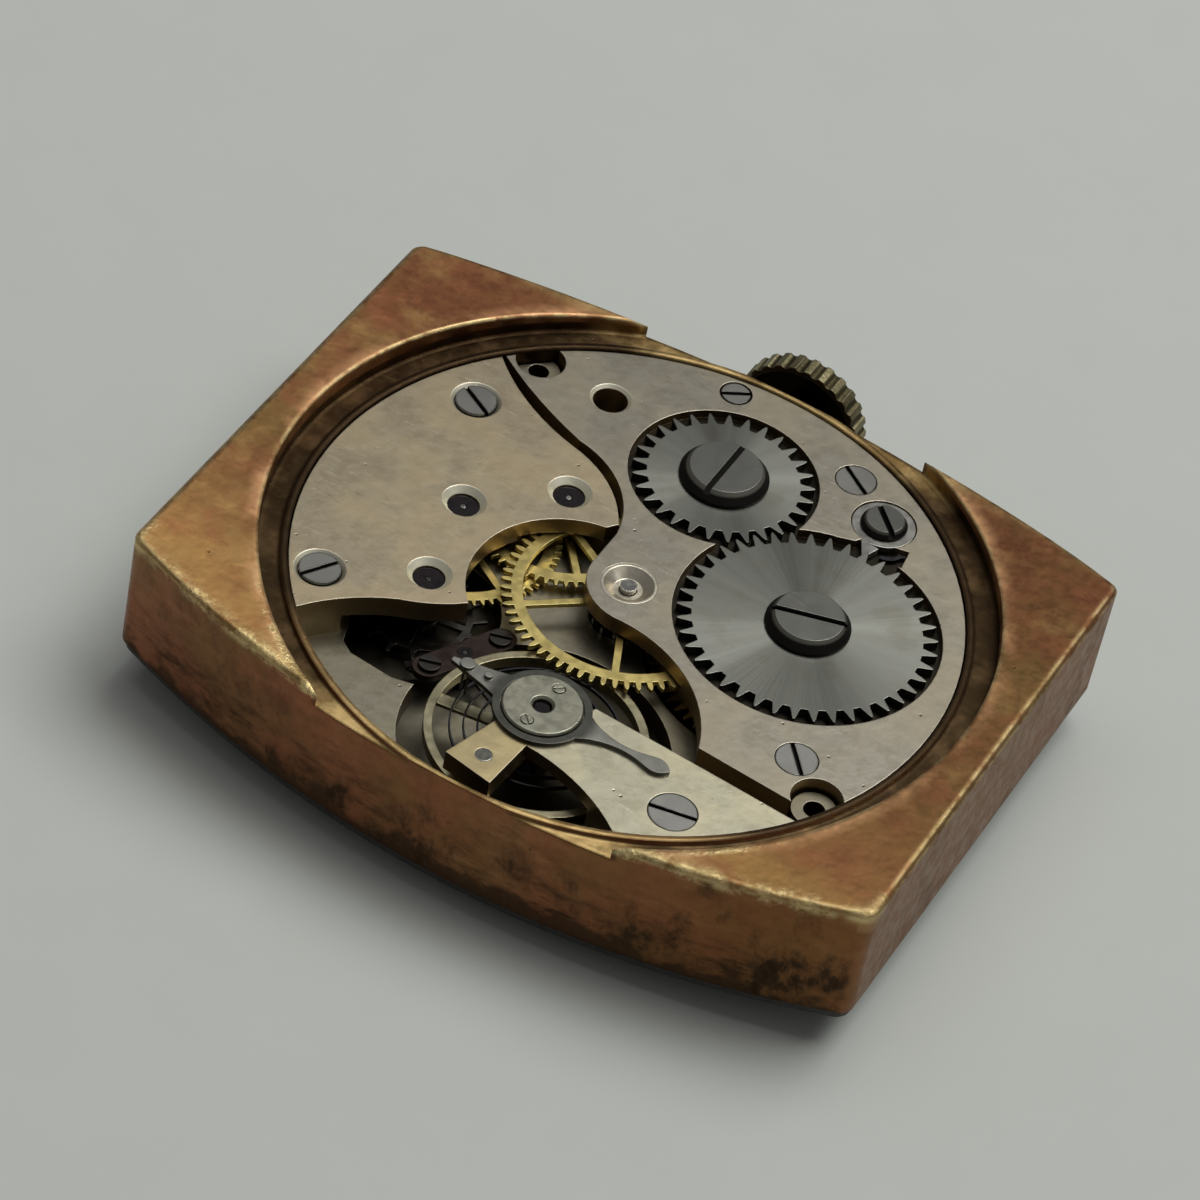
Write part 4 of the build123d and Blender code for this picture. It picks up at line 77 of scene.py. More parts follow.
# Finishes
class Finish:
    """A material being made: its shader and the nodes that feed it."""

    def __init__(self, name, colour, metallic, roughness):
        # Blender numbers the material's own name where the frame brings the same one
        self.name = name
        self.material = bpy.data.materials.new(name)
        self.material.use_nodes = True
        self.tree = self.material.node_tree
        self.shader = self.tree.nodes["Principled BSDF"]
        self.set("Base Color", (*colour, 1))
        self.set("Metallic", metallic)
        self.set("Roughness", roughness)
        self.coordinates = self.add("ShaderNodeTexCoord")

    def set(self, socket, value):
        self.shader.inputs[socket].default_value = value

    def add(self, kind, sockets=None, **settings):
        node = self.tree.nodes.new(kind)
        for key, value in settings.items():
            setattr(node, key, value)
        for key, value in (sockets or {}).items():
            if isinstance(value, bpy.types.NodeSocket):
                self.tree.links.new(value, node.inputs[key])
            else:
                node.inputs[key].default_value = value
        return node

    def feed(self, socket, source):
        self.tree.links.new(source, self.shader.inputs[socket])

    def place(self, centre=(0, 0, 0), turn=(0, 0, 0), stretch=(1, 1, 1)):
        """Object coordinates in millimetres, centred on a place, turned and stretched."""
        moved = self.add(
            "ShaderNodeMapping",
            {"Vector": self.coordinates.outputs["Object"], "Location": [-c * MM for c in centre]},
        )
        return self.add(
            "ShaderNodeMapping",
            {
                "Vector": moved.outputs[0],
                "Rotation": [math.radians(a) for a in turn],
                "Scale": [s / MM for s in stretch],
            },
        ).outputs[0]

    def ramp(self, value, low, high, floor=0.0, ceiling=1.0):
        """The value stretched so that low gives floor and high gives ceiling."""
        return self.add(
            "ShaderNodeMapRange",
            {"Value": value, "From Min": low, "From Max": high, "To Min": floor, "To Max": ceiling},
            interpolation_type="SMOOTHSTEP",
        ).outputs["Result"]

    def calculate(self, operation, first, second=0.0):
        return self.add("ShaderNodeMath", {0: first, 1: second}, operation=operation).outputs[0]

    def times(self, first, second):
        return self.calculate("MULTIPLY", first, second)

    def plus(self, first, second):
        return self.calculate("ADD", first, second)

    def most(self, first, second):
        return self.calculate("MAXIMUM", first, second)

    def least(self, first, second):
        return self.calculate("MINIMUM", first, second)

    def absolute(self, value):
        return self.calculate("ABSOLUTE", value)

    def rest(self, share):
        """What a share leaves of 1."""
        return self.calculate("SUBTRACT", 1.0, share)

    def noise(self, size, low=0.35, high=0.65, detail=4.0, roughness=0.55, **where):
        """Cloudy mottling from 0 to 1 with lumps of about the size in millimetres."""
        texture = self.add(
            "ShaderNodeTexNoise",
            {
                "Vector": self.place(**where),
                "Scale": 1 / size,
                "Detail": detail,
                "Roughness": roughness,
            },
        )
        return self.ramp(texture.outputs["Fac"], low, high)

    def specks(self, size, radius_share):
        """Small round spots, 1 inside and 0 outside."""
        texture = self.add(
            "ShaderNodeTexVoronoi",
            {"Vector": self.place(), "Scale": 1 / size, "Randomness": 1.0},
        )
        return self.ramp(texture.outputs["Distance"], radius_share, 0.4 * radius_share)

    def scratches(self, length, width, share, turns, centre=(0, 0, 0)):
        """Fine straight scratches in a few directions, 1 in a scratch."""
        found = None
        for turn in turns:
            texture = self.add(
                "ShaderNodeTexNoise",
                {
                    "Vector": self.place(centre, (0, 0, turn), (1 / length, 1 / width, 1 / length)),
                    "Scale": 1.0,
                    "Detail": 1.5,
                    "Roughness": 0.6,
                },
            )
            line = self.ramp(texture.outputs["Fac"], 1 - share, 1 - share + 0.05)
            found = line if found is None else self.most(found, line)
        return found

    def around(self, centre, lines):
        """Fine lines that run out from a centre, as a sunray finish has."""
        flat = self.place(centre, (0, 0, 0), (1, 1, 0))
        spoke = self.add("ShaderNodeVectorMath", {0: flat}, operation="NORMALIZE")
        texture = self.add(
            "ShaderNodeTexNoise",
            {"Vector": spoke.outputs[0], "Scale": lines / math.tau, "Detail": 2.0},
        )
        return texture.outputs["Fac"]

    def distance(self, centre, across=(1, 1, 0)):
        """The distance from a place in millimetres, measured across the axis left at 0."""
        flat = self.place(centre, (0, 0, 0), across)
        return self.add("ShaderNodeVectorMath", {0: flat}, operation="LENGTH").outputs["Value"]

    def parts(self):
        """The X, Y and Z of the place in millimetres."""
        return self.add("ShaderNodeSeparateXYZ", {0: self.place()}).outputs

    def lean(self):
        """1 on faces that lie flat, about 0.7 on bevels and 0 on walls."""
        parts = self.add("ShaderNodeSeparateXYZ", {0: self.coordinates.outputs["Normal"]})
        return self.absolute(parts.outputs[2])

    def upright(self):
        """1 on walls, 0 on faces that lie flat."""
        return self.ramp(self.lean(), 0.75, 0.45)

    def slanted(self, low=0.6, high=0.8):
        """1 on bevels, 0 on flats and on walls."""
        lean = self.lean()
        return self.times(self.ramp(lean, low - 0.1, low), self.ramp(lean, high + 0.1, high))

    def facing_out(self):
        """1 on walls that face away from the middle of the movement."""
        outward = self.add(
            "ShaderNodeVectorMath",
            {0: self.coordinates.outputs["Normal"], 1: self.place()},
            operation="DOT_PRODUCT",
        )
        return self.ramp(outward.outputs["Value"], 2.0, 5.0)

    def spoke_direction(self, centre):
        """The direction away from a centre, in the plate's plane."""
        flat = self.place(centre, (0, 0, 0), (1, 1, 0))
        unit = self.add("ShaderNodeVectorMath", {0: flat}, operation="NORMALIZE")
        turned = self.add(
            "ShaderNodeVectorTransform",
            {0: unit.outputs[0]},
            vector_type="VECTOR",
            convert_from="OBJECT",
            convert_to="WORLD",
        )
        return turned.outputs[0]

    def edges(self, width, start=0.995, full=0.9):
        """1 on the worn corners of the piece, within about the width in millimetres.

        start and full say how far the surface has turned where wear begins and is whole.
        """
        rounded = self.add("ShaderNodeBevel", {"Radius": width * MM}, samples=6)
        plain = self.add("ShaderNodeNewGeometry")
        match = self.add(
            "ShaderNodeVectorMath",
            {0: rounded.outputs[0], 1: plain.outputs["Normal"]},
            operation="DOT_PRODUCT",
        )
        return self.ramp(match.outputs["Value"], start, full)

    def tint(self, first, second, share):
        """Two colours, or a pattern and a colour, mixed by a share."""
        mixed = self.add("ShaderNodeMix", data_type="RGBA")
        for socket, value in ((6, first), (7, second)):
            if isinstance(value, bpy.types.NodeSocket):
                self.tree.links.new(value, mixed.inputs[socket])
            else:
                mixed.inputs[socket].default_value = (*value, 1)
        self.tree.links.new(share, mixed.inputs[0])
        return mixed.outputs[2]

    def relief(self, patterns, corner):
        """Bumps from patterns, each with its depth, over corners rounded by a radius, all in mm."""
        normal = self.add("ShaderNodeBevel", {"Radius": corner * MM}, samples=6).outputs[0]
        for pattern, depth in patterns:
            sockets = {
                "Height": pattern,
                "Distance": abs(depth) * MM,
                "Strength": 1.0,
                "Normal": normal,
            }
            normal = self.add("ShaderNodeBump", sockets, invert=depth < 0).outputs[0]
        self.feed("Normal", normal)


def shade(colour, factor):
    """A colour made darker or paler by a factor."""
    return [min(1, factor * c) for c in colour]


def toned(colour, tones):
    """A colour with each of its three parts made darker or paler by its own factor."""
    return [c * tone for c, tone in zip(colour, tones)]


def copper_flats(f, parts):
    """Golden where hands have worn the copper, redder and darker further back."""
    clouds = f.noise(6.0, 0.36, 0.62, 5)
    colour = f.tint((0.22, 0.086, 0.042), (0.23, 0.135, 0.05), clouds)
    near = f.ramp(f.plus(parts["Y"], f.times(f.noise(5.0, 0.2, 0.8), 5)), -1, -9)
    colour = f.tint(colour, (0.50, 0.285, 0.10), f.times(near, 0.85))
    blush = f.noise(2.3, 0.44, 0.68, 5, 0.6, centre=(4, 9, 0))
    colour = f.tint(colour, (0.33, 0.125, 0.062), f.times(blush, 0.6))
    gold = f.noise(2.0, 0.5, 0.7, 5, 0.6, centre=(11, 2, 0))
    return f.tint(colour, (0.46, 0.29, 0.11), f.times(gold, 0.55))


def copper_sides(f, parts, outside, colour):
    """Redder walls with streaks along them and stains from the foot up.

    Gives the colour and where it is stained.
    """
    reddish = f.tint((0.30, 0.115, 0.055), (0.25, 0.122, 0.05), f.noise(3.0, 0.35, 0.65, 5))
    colour = f.tint(colour, reddish, outside)
    warm = f.noise(1.6, 0.5, 0.75, 6, 0.7, stretch=(0.4, 0.4, 1.5))
    end = f.ramp(f.absolute(parts["X"]), FRAME_END - 0.44, FRAME_END - 0.14)
    side = f.times(outside, f.rest(f.times(end, 0.75)))
    colour = f.tint(colour, (0.50, 0.25, 0.115), f.times(f.times(warm, side), 0.45))
    colour = f.tint(colour, (0.225, 0.125, 0.055), f.times(f.times(outside, end), 0.5))
    handled = f.ramp(parts["X"], 2, 12.5)
    colour = f.tint(colour, (0.19, 0.085, 0.026), f.times(side, f.times(handled, 0.6)))
    streaks = f.noise(1.2, 0.42, 0.72, 7, 0.75, stretch=(0.5, 0.5, 1.6))
    low = f.ramp(parts["Z"], 3.6, 0.0)
    stained = f.times(side, f.times(streaks, f.plus(0.15, low)))
    smears = f.noise(1.6, 0.42, 0.68, 6, 0.68, stretch=(1.1, 1.1, 0.7))
    dirtier = f.plus(f.plus(0.35, low), f.times(handled, 0.45))
    where = f.times(f.noise(3.6, 0.38, 0.54, 3), dirtier)
    stained = f.most(stained, f.times(side, f.times(smears, where)))
    wavy = f.times(f.noise(1.4, 0.3, 0.7, 5), -0.9)
    foot = f.ramp(f.plus(parts["Z"], wavy), 0.2, -0.4)
    stained = f.most(stained, f.times(side, f.times(foot, 0.8)))
    return f.tint(colour, (0.05, 0.033, 0.020), f.least(stained, 0.85)), stained


def recess_dirt(f, parts, inside, colour):
    """Painted shade with old dirt in the recess round the movement, painted shade on the lip under
    it, and gold on the thin wall beside it.
    """
    reach = f.distance(MIDDLE)
    recess = f.ramp(reach, RECESS_RADIUS + 0.08, RECESS_RADIUS - 0.08)
    recess = f.times(f.times(recess, f.ramp(parts["Z"], 4.75, 4.15)), inside)
    # painted shade, with old dirt in it, darkens the recess round the movement
    shade_and_grime = f.tint((0.040, 0.026, 0.013), (0.105, 0.066, 0.032), f.noise(1.4, 0.42, 0.66, 5))
    colour = f.tint(colour, shade_and_grime, f.times(recess, 0.96))
    # the lip that the movement rests in, painted dark as shade under the movement, pale where it
    # comes nearest to the long side
    lip = f.ramp(reach, LIP_RADIUS + 0.07, LIP_RADIUS - 0.07)
    lip = f.times(f.times(lip, f.ramp(parts["Z"], 3.96, 4.06)), inside)
    lip_near_side = f.ramp(parts["Y"], -7.5, -10.5)
    lip_colour = f.tint((0.055, 0.034, 0.018), (0.42, 0.27, 0.12), lip_near_side)
    colour = f.tint(colour, lip_colour, f.times(lip, 0.85))
    # gold shows where the wall is thinnest, at the middle of the long sides
    thin = f.ramp(f.absolute(parts["Y"]), 10.3, 11.5)
    thin = f.times(f.times(thin, f.ramp(parts["Z"], 3.66, 3.84)), inside)
    gilt = f.tint((0.30, 0.19, 0.075), (0.70, 0.50, 0.22), f.noise(1.5, 0.35, 0.62, 4))
    return f.tint(colour, gilt, f.times(thin, 0.9))


def worn_edges(f, parts):
    """Where pale brass shows on the upper edges, and the broad part of it, as two shares."""
    top_rim = f.ramp(parts["Z"], 4.1, 4.35)
    worn_near = f.ramp(parts["Y"], -7.5, -10)
    narrow = f.times(f.times(f.edges(0.3), top_rim), f.noise(1.3, 0.38, 0.58, 5, 0.65))
    flecks = f.noise(0.75, 0.42, 0.58, 7, 0.75)
    rounding = f.times(f.edges(0.7, 0.998, 0.95), top_rim)
    wide = f.times(rounding, f.times(worn_near, flecks))
    # one corner is worn down to the brass
    corner = f.times(f.ramp(parts["X"], 13.3, 13.8), f.ramp(parts["Y"], -8.7, -9.9))
    return f.most(f.most(narrow, wide), f.times(rounding, corner)), wide


def frame_copper():
    """Old copper plate on brass: golden patina, dark stains, pale worn edges, with painted shade in
    the recess and a painted highlight where it turns over.
    """
    f = Finish("frame_copper", (0.5, 0.24, 0.08), 1.0, 0.42)
    parts = f.parts()
    wall = f.upright()
    outside = f.times(wall, f.facing_out())
    colour = copper_flats(f, parts)
    fine = f.noise(0.5, 0.32, 0.7, 6, 0.7)
    colour = f.tint(colour, (0.15, 0.075, 0.03), f.times(fine, 0.42))
    colour, stained = copper_sides(f, parts, outside, colour)
    colour = recess_dirt(f, parts, f.rest(outside), colour)
    pits = f.times(f.specks(0.9, 0.07), f.noise(4.0, 0.48, 0.6))
    colour = f.tint(colour, (0.09, 0.05, 0.03), f.times(pits, 0.5))
    scuffs = f.times(f.scratches(1.6, 0.05, 0.27, (12, 57, 160)), f.rest(wall))
    colour = f.tint(colour, (0.70, 0.50, 0.24), f.times(scuffs, 0.2))
    # a painted coppery highlight where the recess turns over
    highlight_rim = f.times(f.ramp(f.distance(MIDDLE), 13.7, 13.0), f.ramp(parts["Z"], 4.3, 4.42))
    highlight_patches = f.noise(2.2, 0.35, 0.65, 4, centre=(7, 0, 0))
    colour = f.tint(colour, (0.62, 0.34, 0.17), f.times(highlight_rim, highlight_patches))
    worn, wide = worn_edges(f, parts)
    f.feed("Base Color", f.tint(colour, (0.88, 0.72, 0.36), f.times(worn, 0.85)))
    rough = f.ramp(fine, 0, 1, 0.36, 0.52)
    f.feed("Roughness", f.plus(rough, f.times(stained, 0.25)))
    dents = f.times(wide, f.noise(0.22, 0.35, 0.65, 4))
    swell = f.noise(1.7, 0.3, 0.7, 3)
    f.relief([(swell, 0.012), (pits, -0.02), (scuffs, -0.004), (dents, -0.02)], 0.25)
    return f


def bridge_nickel(
    name, colour, walls=(0.24, 0.16, 0.075), roughness=0.42, top=BRIDGE_TOP, sunk=0.0,
    stained_at=None, less_shade_at=None,
):
    """Old nickel plate with specks, fine scratches and tarnished walls.

    sunk gives how much painted shade darkens it below its top, less of it round a given place, and
    stained_at says where a yellow stain lies.
    """
    f = Finish(name, colour, 1.0, roughness)
    grain = f.noise(0.16, 0.3, 0.7, 3)
    clouds = f.noise(3.2, 0.35, 0.65, 4)
    base = f.tint(colour, toned(colour, (0.84, 0.80, 0.72)), clouds)
    base = f.tint(base, shade(colour, 0.7), f.times(grain, 0.16))
    mottling = f.noise(0.55, 0.4, 0.66, 6, 0.7, centre=(2, 6, 0))
    base = f.tint(base, toned(colour, (0.74, 0.71, 0.66)), f.times(mottling, 0.62))
    specks = f.times(f.specks(0.8, 0.085), f.noise(2.4, 0.4, 0.58))
    base = f.tint(base, (0.07, 0.055, 0.04), f.times(specks, 0.85))
    dots = f.times(f.specks(0.4, 0.075), f.noise(3.1, 0.44, 0.6, centre=(5, 3, 0)))
    base = f.tint(base, (0.12, 0.09, 0.06), f.times(dots, 0.7))
    if stained_at:
        base = f.tint(base, (0.56, 0.44, 0.22), f.ramp(f.distance(stained_at), 2.1, 1.5, 0, 0.8))
    scuffs = f.scratches(2.6, 0.035, 0.28, (20, 128))
    base = f.tint(base, shade(colour, 1.35), f.times(scuffs, 0.3))
    cuts = f.scratches(1.1, 0.045, 0.27, (63, 152), (3, 7, 0))
    cuts = f.times(cuts, f.noise(3.7, 0.4, 0.6))
    base = f.tint(base, (0.10, 0.08, 0.055), f.times(cuts, 0.75))
    height = f.parts()["Z"]
    # painted shade below the top, partly standing for old oil, less of it round a given place
    depth_shade = f.ramp(height, top - 0.1, top - 0.24)
    if less_shade_at:
        depth_shade = f.times(depth_shade, f.ramp(f.distance(less_shade_at), 0.9, 2.3, 0.15, 1.0))
    base = f.tint(base, (0.022, 0.019, 0.014), f.times(depth_shade, sunk))
    lit = f.ramp(height, top - 1.0, top - 0.2, 0.45, 0.85)
    base = f.tint(base, walls, f.times(f.upright(), lit))
    bevel = f.times(f.slanted(), f.ramp(height, top - 0.35, top - 0.25))
    base = f.tint(base, (1.0, 0.96, 0.78), f.times(bevel, 0.95))
    shine = f.times(f.edges(0.05), f.ramp(height, top - 0.15, top - 0.05))
    base = f.tint(base, (0.88, 0.82, 0.66), f.times(shine, 0.7))
    f.feed("Base Color", base)
    rough = f.ramp(clouds, 0, 1, roughness - 0.03, roughness + 0.05)
    f.feed("Roughness", f.plus(rough, f.times(bevel, 0.07)))
    swell = f.noise(1.1, 0.3, 0.7, 2)
    f.relief([(swell, 0.004), (mottling, 0.0015), (scuffs, -0.0015), (specks, -0.01)], 0.045)
    return f


def sunray_steel(name, centre, colour=(0.315, 0.317, 0.28)):
    """Steel ground in fine lines that run out from the middle of a winding wheel, its sheen painted
    in broad sectors.
    """
    f = Finish(name, colour, 1.0, 0.3)
    rays = f.around(centre, 420)
    # broad sectors lighter and darker: a painted sheen of the sunray finish
    sheen_sectors = f.ramp(f.around(centre, 9), 0.32, 0.68)
    base = f.tint(shade(colour, 0.75), shade(colour, 1.15), sheen_sectors)
    base = f.tint(base, shade(colour, 0.6), f.ramp(rays, 0.45, 0.8, 0, 0.22))
    lines = f.scratches(1.8, 0.03, 0.3, (12, 67, 110, 151))
    base = f.tint(base, shade(colour, 1.5), f.times(lines, 0.3))
    stain = f.noise(1.6, 0.52, 0.7)
    base = f.tint(base, (0.22, 0.20, 0.15), f.times(stain, 0.4))
    base = f.tint(base, (0.045, 0.042, 0.036), f.times(f.upright(), 0.75))
    f.feed("Base Color", base)
    f.set("Anisotropic", 0.5)
    f.set("Anisotropic Rotation", 0.25)
    f.feed("Tangent", f.spoke_direction(centre))
    f.feed("Roughness", f.ramp(rays, 0.2, 0.8, 0.31, 0.38))
    f.relief([(rays, 0.0015)], 0.04)
    return f


def plain_metal(name, colour, roughness, mottled=0.25, edge=0.03, dark=0.35, shaded=None):
    """Turned and polished metal with light tarnish and bright corners.

    The pair in shaded gives the heights where painted shade begins and where it is darkest.
    """
    f = Finish(name, colour, 1.0, roughness)
    clouds = f.noise(0.9, 0.4, 0.7, 4)
    base = f.tint(colour, shade(colour, dark), f.times(clouds, mottled))
    grain = f.noise(0.3, 0.3, 0.7, 2)
    base = f.tint(base, shade(colour, 0.8), f.times(grain, 0.2))
    base = f.tint(base, shade(colour, 1.6), f.times(f.edges(edge), 0.55))
    if shaded:
        shade_start, shade_full = shaded
        # painted shade below the given heights
        depth = f.ramp(f.parts()["Z"], shade_start, shade_full, 0, 0.92)
        base = f.tint(base, (0.022, 0.019, 0.016), depth)
    f.feed("Base Color", base)
    f.feed("Roughness", f.ramp(grain, 0, 1, roughness - 0.02, roughness + 0.05))
    f.relief([(grain, 0.0008)], edge)
    return f


def screw_steel(
    name, colour, top, slot, bevel=(0.25, 0.248, 0.21), walls=(0.05, 0.047, 0.04), rim=0.0
):
    """A polished screw head, its top at a height, with painted shade in its slot as deep as given.

    rim is the width of the painted shade along its edges, for the gap round the head, in
    millimetres.
    """
    f = Finish(name, colour, 1.0, 0.32)
    height = f.parts()["Z"]
    lean = f.lean()
    clouds = f.noise(0.9, 0.3, 0.7, 3)
    base = f.tint(colour, shade(colour, 0.7), f.times(clouds, 0.3))
    lines = f.scratches(1.4, 0.02, 0.3, (33, 121))
    base = f.tint(base, shade(colour, 1.5), f.times(lines, 0.2))
    base = f.tint(base, bevel, f.times(f.slanted(0.5, 0.9), 0.85))
    base = f.tint(base, walls, f.times(f.upright(), 0.8))
    if rim:
        # a dark ring on the edges: painted shade of the gap round the head
        gap_shade = f.times(f.edges(rim, 0.999, 0.93), f.noise(0.7, 0.2, 0.6, 3))
        base = f.tint(base, (0.05, 0.046, 0.036), f.times(gap_shade, 0.8))
    else:
        base = f.tint(base, shade(colour, 1.7), f.times(f.edges(0.03), 0.5))
    # painted shade in the slot
    slot_shade = f.ramp(height, top - 0.35 * slot, top - 0.8 * slot, 0, 0.95)
    base = f.tint(base, (0.012, 0.011, 0.010), slot_shade)
    f.feed("Base Color", base)
    rough = f.ramp(clouds, 0, 1, 0.3, 0.34)
    f.feed("Roughness", f.plus(rough, f.times(f.ramp(lean, 0.97, 0.9), 0.2)))
    f.relief([(lines, -0.0006)], 0.03)
    return f


def index_steel():
    """The regulator's steel: painted shade on its ring, painted light along its pointer and its
    arm.
    """
    f = Finish("index_steel", (0.11, 0.11, 0.095), 1.0, 0.35)
    clouds = f.noise(0.6, 0.4, 0.7, 4)
    # the ring painted dark as shade, the pointer and arm painted light
    lit_arms = f.ramp(f.distance(BALANCE), 1.7, 2.2)
    base = f.tint((0.105, 0.105, 0.09), (0.31, 0.305, 0.27), lit_arms)
    base = f.tint(base, (0.045, 0.042, 0.034), f.times(clouds, 0.35))
    base = f.tint(base, (0.03, 0.028, 0.022), f.times(f.upright(), 0.6))
    base = f.tint(base, (0.46, 0.45, 0.40), f.times(f.edges(0.04), 0.45))
    f.feed("Base Color", base)
    grain = f.noise(0.3, 0.3, 0.7, 2)
    f.feed("Roughness", f.ramp(grain, 0, 1, 0.33, 0.4))
    f.relief([(grain, 0.0008)], 0.04)
    return f


def crown_brass():
    """Olive brass worn pale on the ridges, with painted shade in the flutes and in the mouth."""
    f = Finish("crown_brass", (0.38, 0.33, 0.18), 1.0, 0.4)
    reach = f.distance(STEM, across=(1, 0, 1))
    clouds = f.noise(0.9, 0.38, 0.68, 5)
    base = f.tint((0.25, 0.22, 0.125), (0.14, 0.115, 0.06), f.times(clouds, 0.8))
    # painted shade in the flutes
    base = f.tint(base, (0.05, 0.04, 0.02), f.ramp(reach, 2.46, 2.37, 0, 0.85))
    base = f.tint(base, (0.46, 0.42, 0.26), f.times(f.edges(0.05), 0.4))
    # painted shade in the mouth
    base = f.tint(base, (0.016, 0.013, 0.008), f.ramp(reach, 2.26, 2.2, 0, 0.93))
    f.feed("Base Color", base)
    grain = f.noise(0.1, 0.3, 0.7, 4)
    f.feed("Roughness", f.ramp(grain, 0, 1, 0.32, 0.5))
    f.relief([(grain, 0.005)], 0.05)
    return f


def ruby():
    """Dark jewel: a polished disc that lets little light through."""
    f = Finish("ruby", (0.02, 0.012, 0.016), 0.0, 0.06)
    base = f.tint((0.016, 0.011, 0.013), (0.006, 0.005, 0.006), f.noise(0.25, 0.4, 0.65, 5, 0.7))
    f.feed("Base Color", base)
    f.set("Coat Weight", 0.3)
    f.set("Coat Roughness", 0.05)
    return f


def dial_paint():
    """Matte charcoal paint with a pale minute track, hour marks and a small seconds ring."""
    f = Finish("dial_paint", (0.014, 0.014, 0.015), 0.0, 0.45)
    grain = f.noise(0.2, 0.3, 0.7)
    base = f.tint((0.012, 0.012, 0.013), (0.028, 0.027, 0.026), grain)
    place = f.parts()

    def marks_round(centre, count, half_width, inner, outer, rail):
        """Lines set round a centre between two distances, and a ring outside them."""
        pitch = math.tau / count
        x = f.calculate("SUBTRACT", place["X"], centre[0])
        y = f.calculate("SUBTRACT", place["Y"], centre[1])
        steps = f.calculate("DIVIDE", f.calculate("ARCTAN2", y, x), pitch)
        offset = f.calculate("SUBTRACT", f.calculate("FRACT", f.plus(steps, count + 0.5)), 0.5)
        reach = f.distance(centre)
        arm = f.times(f.absolute(f.calculate("SINE", f.times(offset, pitch))), reach)
        line = f.ramp(arm, half_width + 0.02, half_width - 0.01)
        band = f.times(f.ramp(reach, inner, inner + 0.04), f.ramp(reach, outer, outer - 0.04))
        edge = outer + rail
        ring = f.times(f.ramp(reach, outer - 0.02, outer + 0.02), f.ramp(reach, edge, edge - 0.04))
        return f.most(f.times(line, band), ring)

    marks = marks_round(MIDDLE, 60, 0.05, 10.0, 10.7, 0.14)
    marks = f.most(marks, marks_round(MIDDLE, 12, 0.14, 9.8, 10.7, 0.14))
    marks = f.most(marks, marks_round(SMALL_SECONDS, 12, 0.04, 1.75, 2.05, 0.08))
    faces = f.add("ShaderNodeSeparateXYZ", {0: f.coordinates.outputs["Normal"]})
    underside = f.ramp(faces.outputs[2], -0.5, -0.8)
    base = f.tint(base, (0.62, 0.60, 0.50), f.times(marks, underside))
    f.feed("Base Color", base)
    f.relief([(grain, 0.002)], 0.03)
    return f


def number_paint():
    """Pale cream paint, a little uneven, for the numbers on the dial."""
    f = Finish("number_paint", (0.62, 0.60, 0.50), 0.0, 0.5)
    age = f.noise(0.5, 0.4, 0.68, 5)
    f.feed("Base Color", f.tint((0.64, 0.62, 0.52), (0.50, 0.47, 0.37), age))
    f.relief([(age, -0.002)], 0.01)
    return f


def floor_card():
    """Pale grey card."""
    f = Finish("floor_card", (0.588, 0.609, 0.576), 0.0, 0.9)
    f.set("Specular IOR Level", 0.1)
    texture = f.noise(3.0, 0.2, 0.8, 6)
    f.feed("Base Color", f.tint((0.582, 0.603, 0.57), (0.594, 0.615, 0.582), texture))
    return f


FINISHES = {
    finish.name: finish.material
    for finish in (
        frame_copper(),
        bridge_nickel("train_nickel", (0.58, 0.50, 0.36), roughness=0.38),
        bridge_nickel(
            "barrel_nickel", (0.46, 0.425, 0.35), (0.42, 0.285, 0.14), 0.38, sunk=0.97
        ),
        bridge_nickel(
            "cock_nickel", (0.70, 0.665, 0.50), roughness=0.36, stained_at=STUD_BLOCK
        ),
        bridge_nickel(
            "plate_nickel", (0.32, 0.295, 0.225), (0.10, 0.065, 0.035), top=PLATE_TOP, sunk=0.75,
            less_shade_at=LESS_SHADED_POCKET,
        ),
        # the pallet cock's nickel painted near black, as painted shade where the train bridge's
        # shadow falls
        plain_metal("fork_cock_shaded_nickel", (0.06, 0.043, 0.037), 0.36, 0.5, 0.02),
        sunray_steel("ratchet_steel", BARREL),
        sunray_steel("crown_wheel_steel", CROWN_WHEEL),
        plain_metal("polished_steel", (0.46, 0.45, 0.43), 0.25),
        plain_metal("dark_steel", (0.09, 0.085, 0.075), 0.3),
        plain_metal("stud_steel", (0.44, 0.435, 0.38), 0.2, 0.4, 0.06),
        plain_metal(
            "click_steel", (0.46, 0.45, 0.41), 0.3, 0.5, 0.04, shaded=(3.9, 3.6)
        ),
        screw_steel(
            "bridge_screw_steel", (0.40, 0.393, 0.362), top=BRIDGE_TOP, slot=0.16, rim=0.1
        ),
        screw_steel(
            "winding_screw_steel",
            (0.24, 0.238, 0.218),
            top=4.5,
            slot=0.21,
            walls=(0.17, 0.165, 0.13),
        ),
        screw_steel(
            "click_screw_steel",
            (0.21, 0.208, 0.19),
            top=4.32,
            slot=0.21,
            walls=(0.15, 0.145, 0.115),
        ),
        # small screws painted near black, as painted shade
        screw_steel(
            "shaded_small_screw_steel",
            (0.075, 0.068, 0.062),
            top=2.78,
            slot=0.16,
            bevel=(0.05, 0.05, 0.045),
        ),
        index_steel(),
        plain_metal("cap_steel", (0.40, 0.395, 0.31), 0.33, 0.6, 0.04, 0.5),
        plain_metal("train_brass", (0.92, 0.74, 0.28), 0.3, 0.3, 0.03),
        plain_metal(
            "barrel_brass", (0.50, 0.37, 0.16), 0.36, 0.45, 0.03, shaded=(2.9, 1.9)
        ),
        plain_metal("balance_brass", (0.50, 0.45, 0.29), 0.3, 0.45, 0.04),
        crown_brass(),
        plain_metal("spring_steel", (0.06, 0.06, 0.066), 0.3, 0.2, 0.01),
        plain_metal("blued_steel", (0.05, 0.07, 0.2), 0.22, 0.2, 0.02),
        plain_metal("bushing_steel", (0.68, 0.62, 0.50), 0.34, 0.3, 0.05),
        ruby(),
        dial_paint(),
    )
}

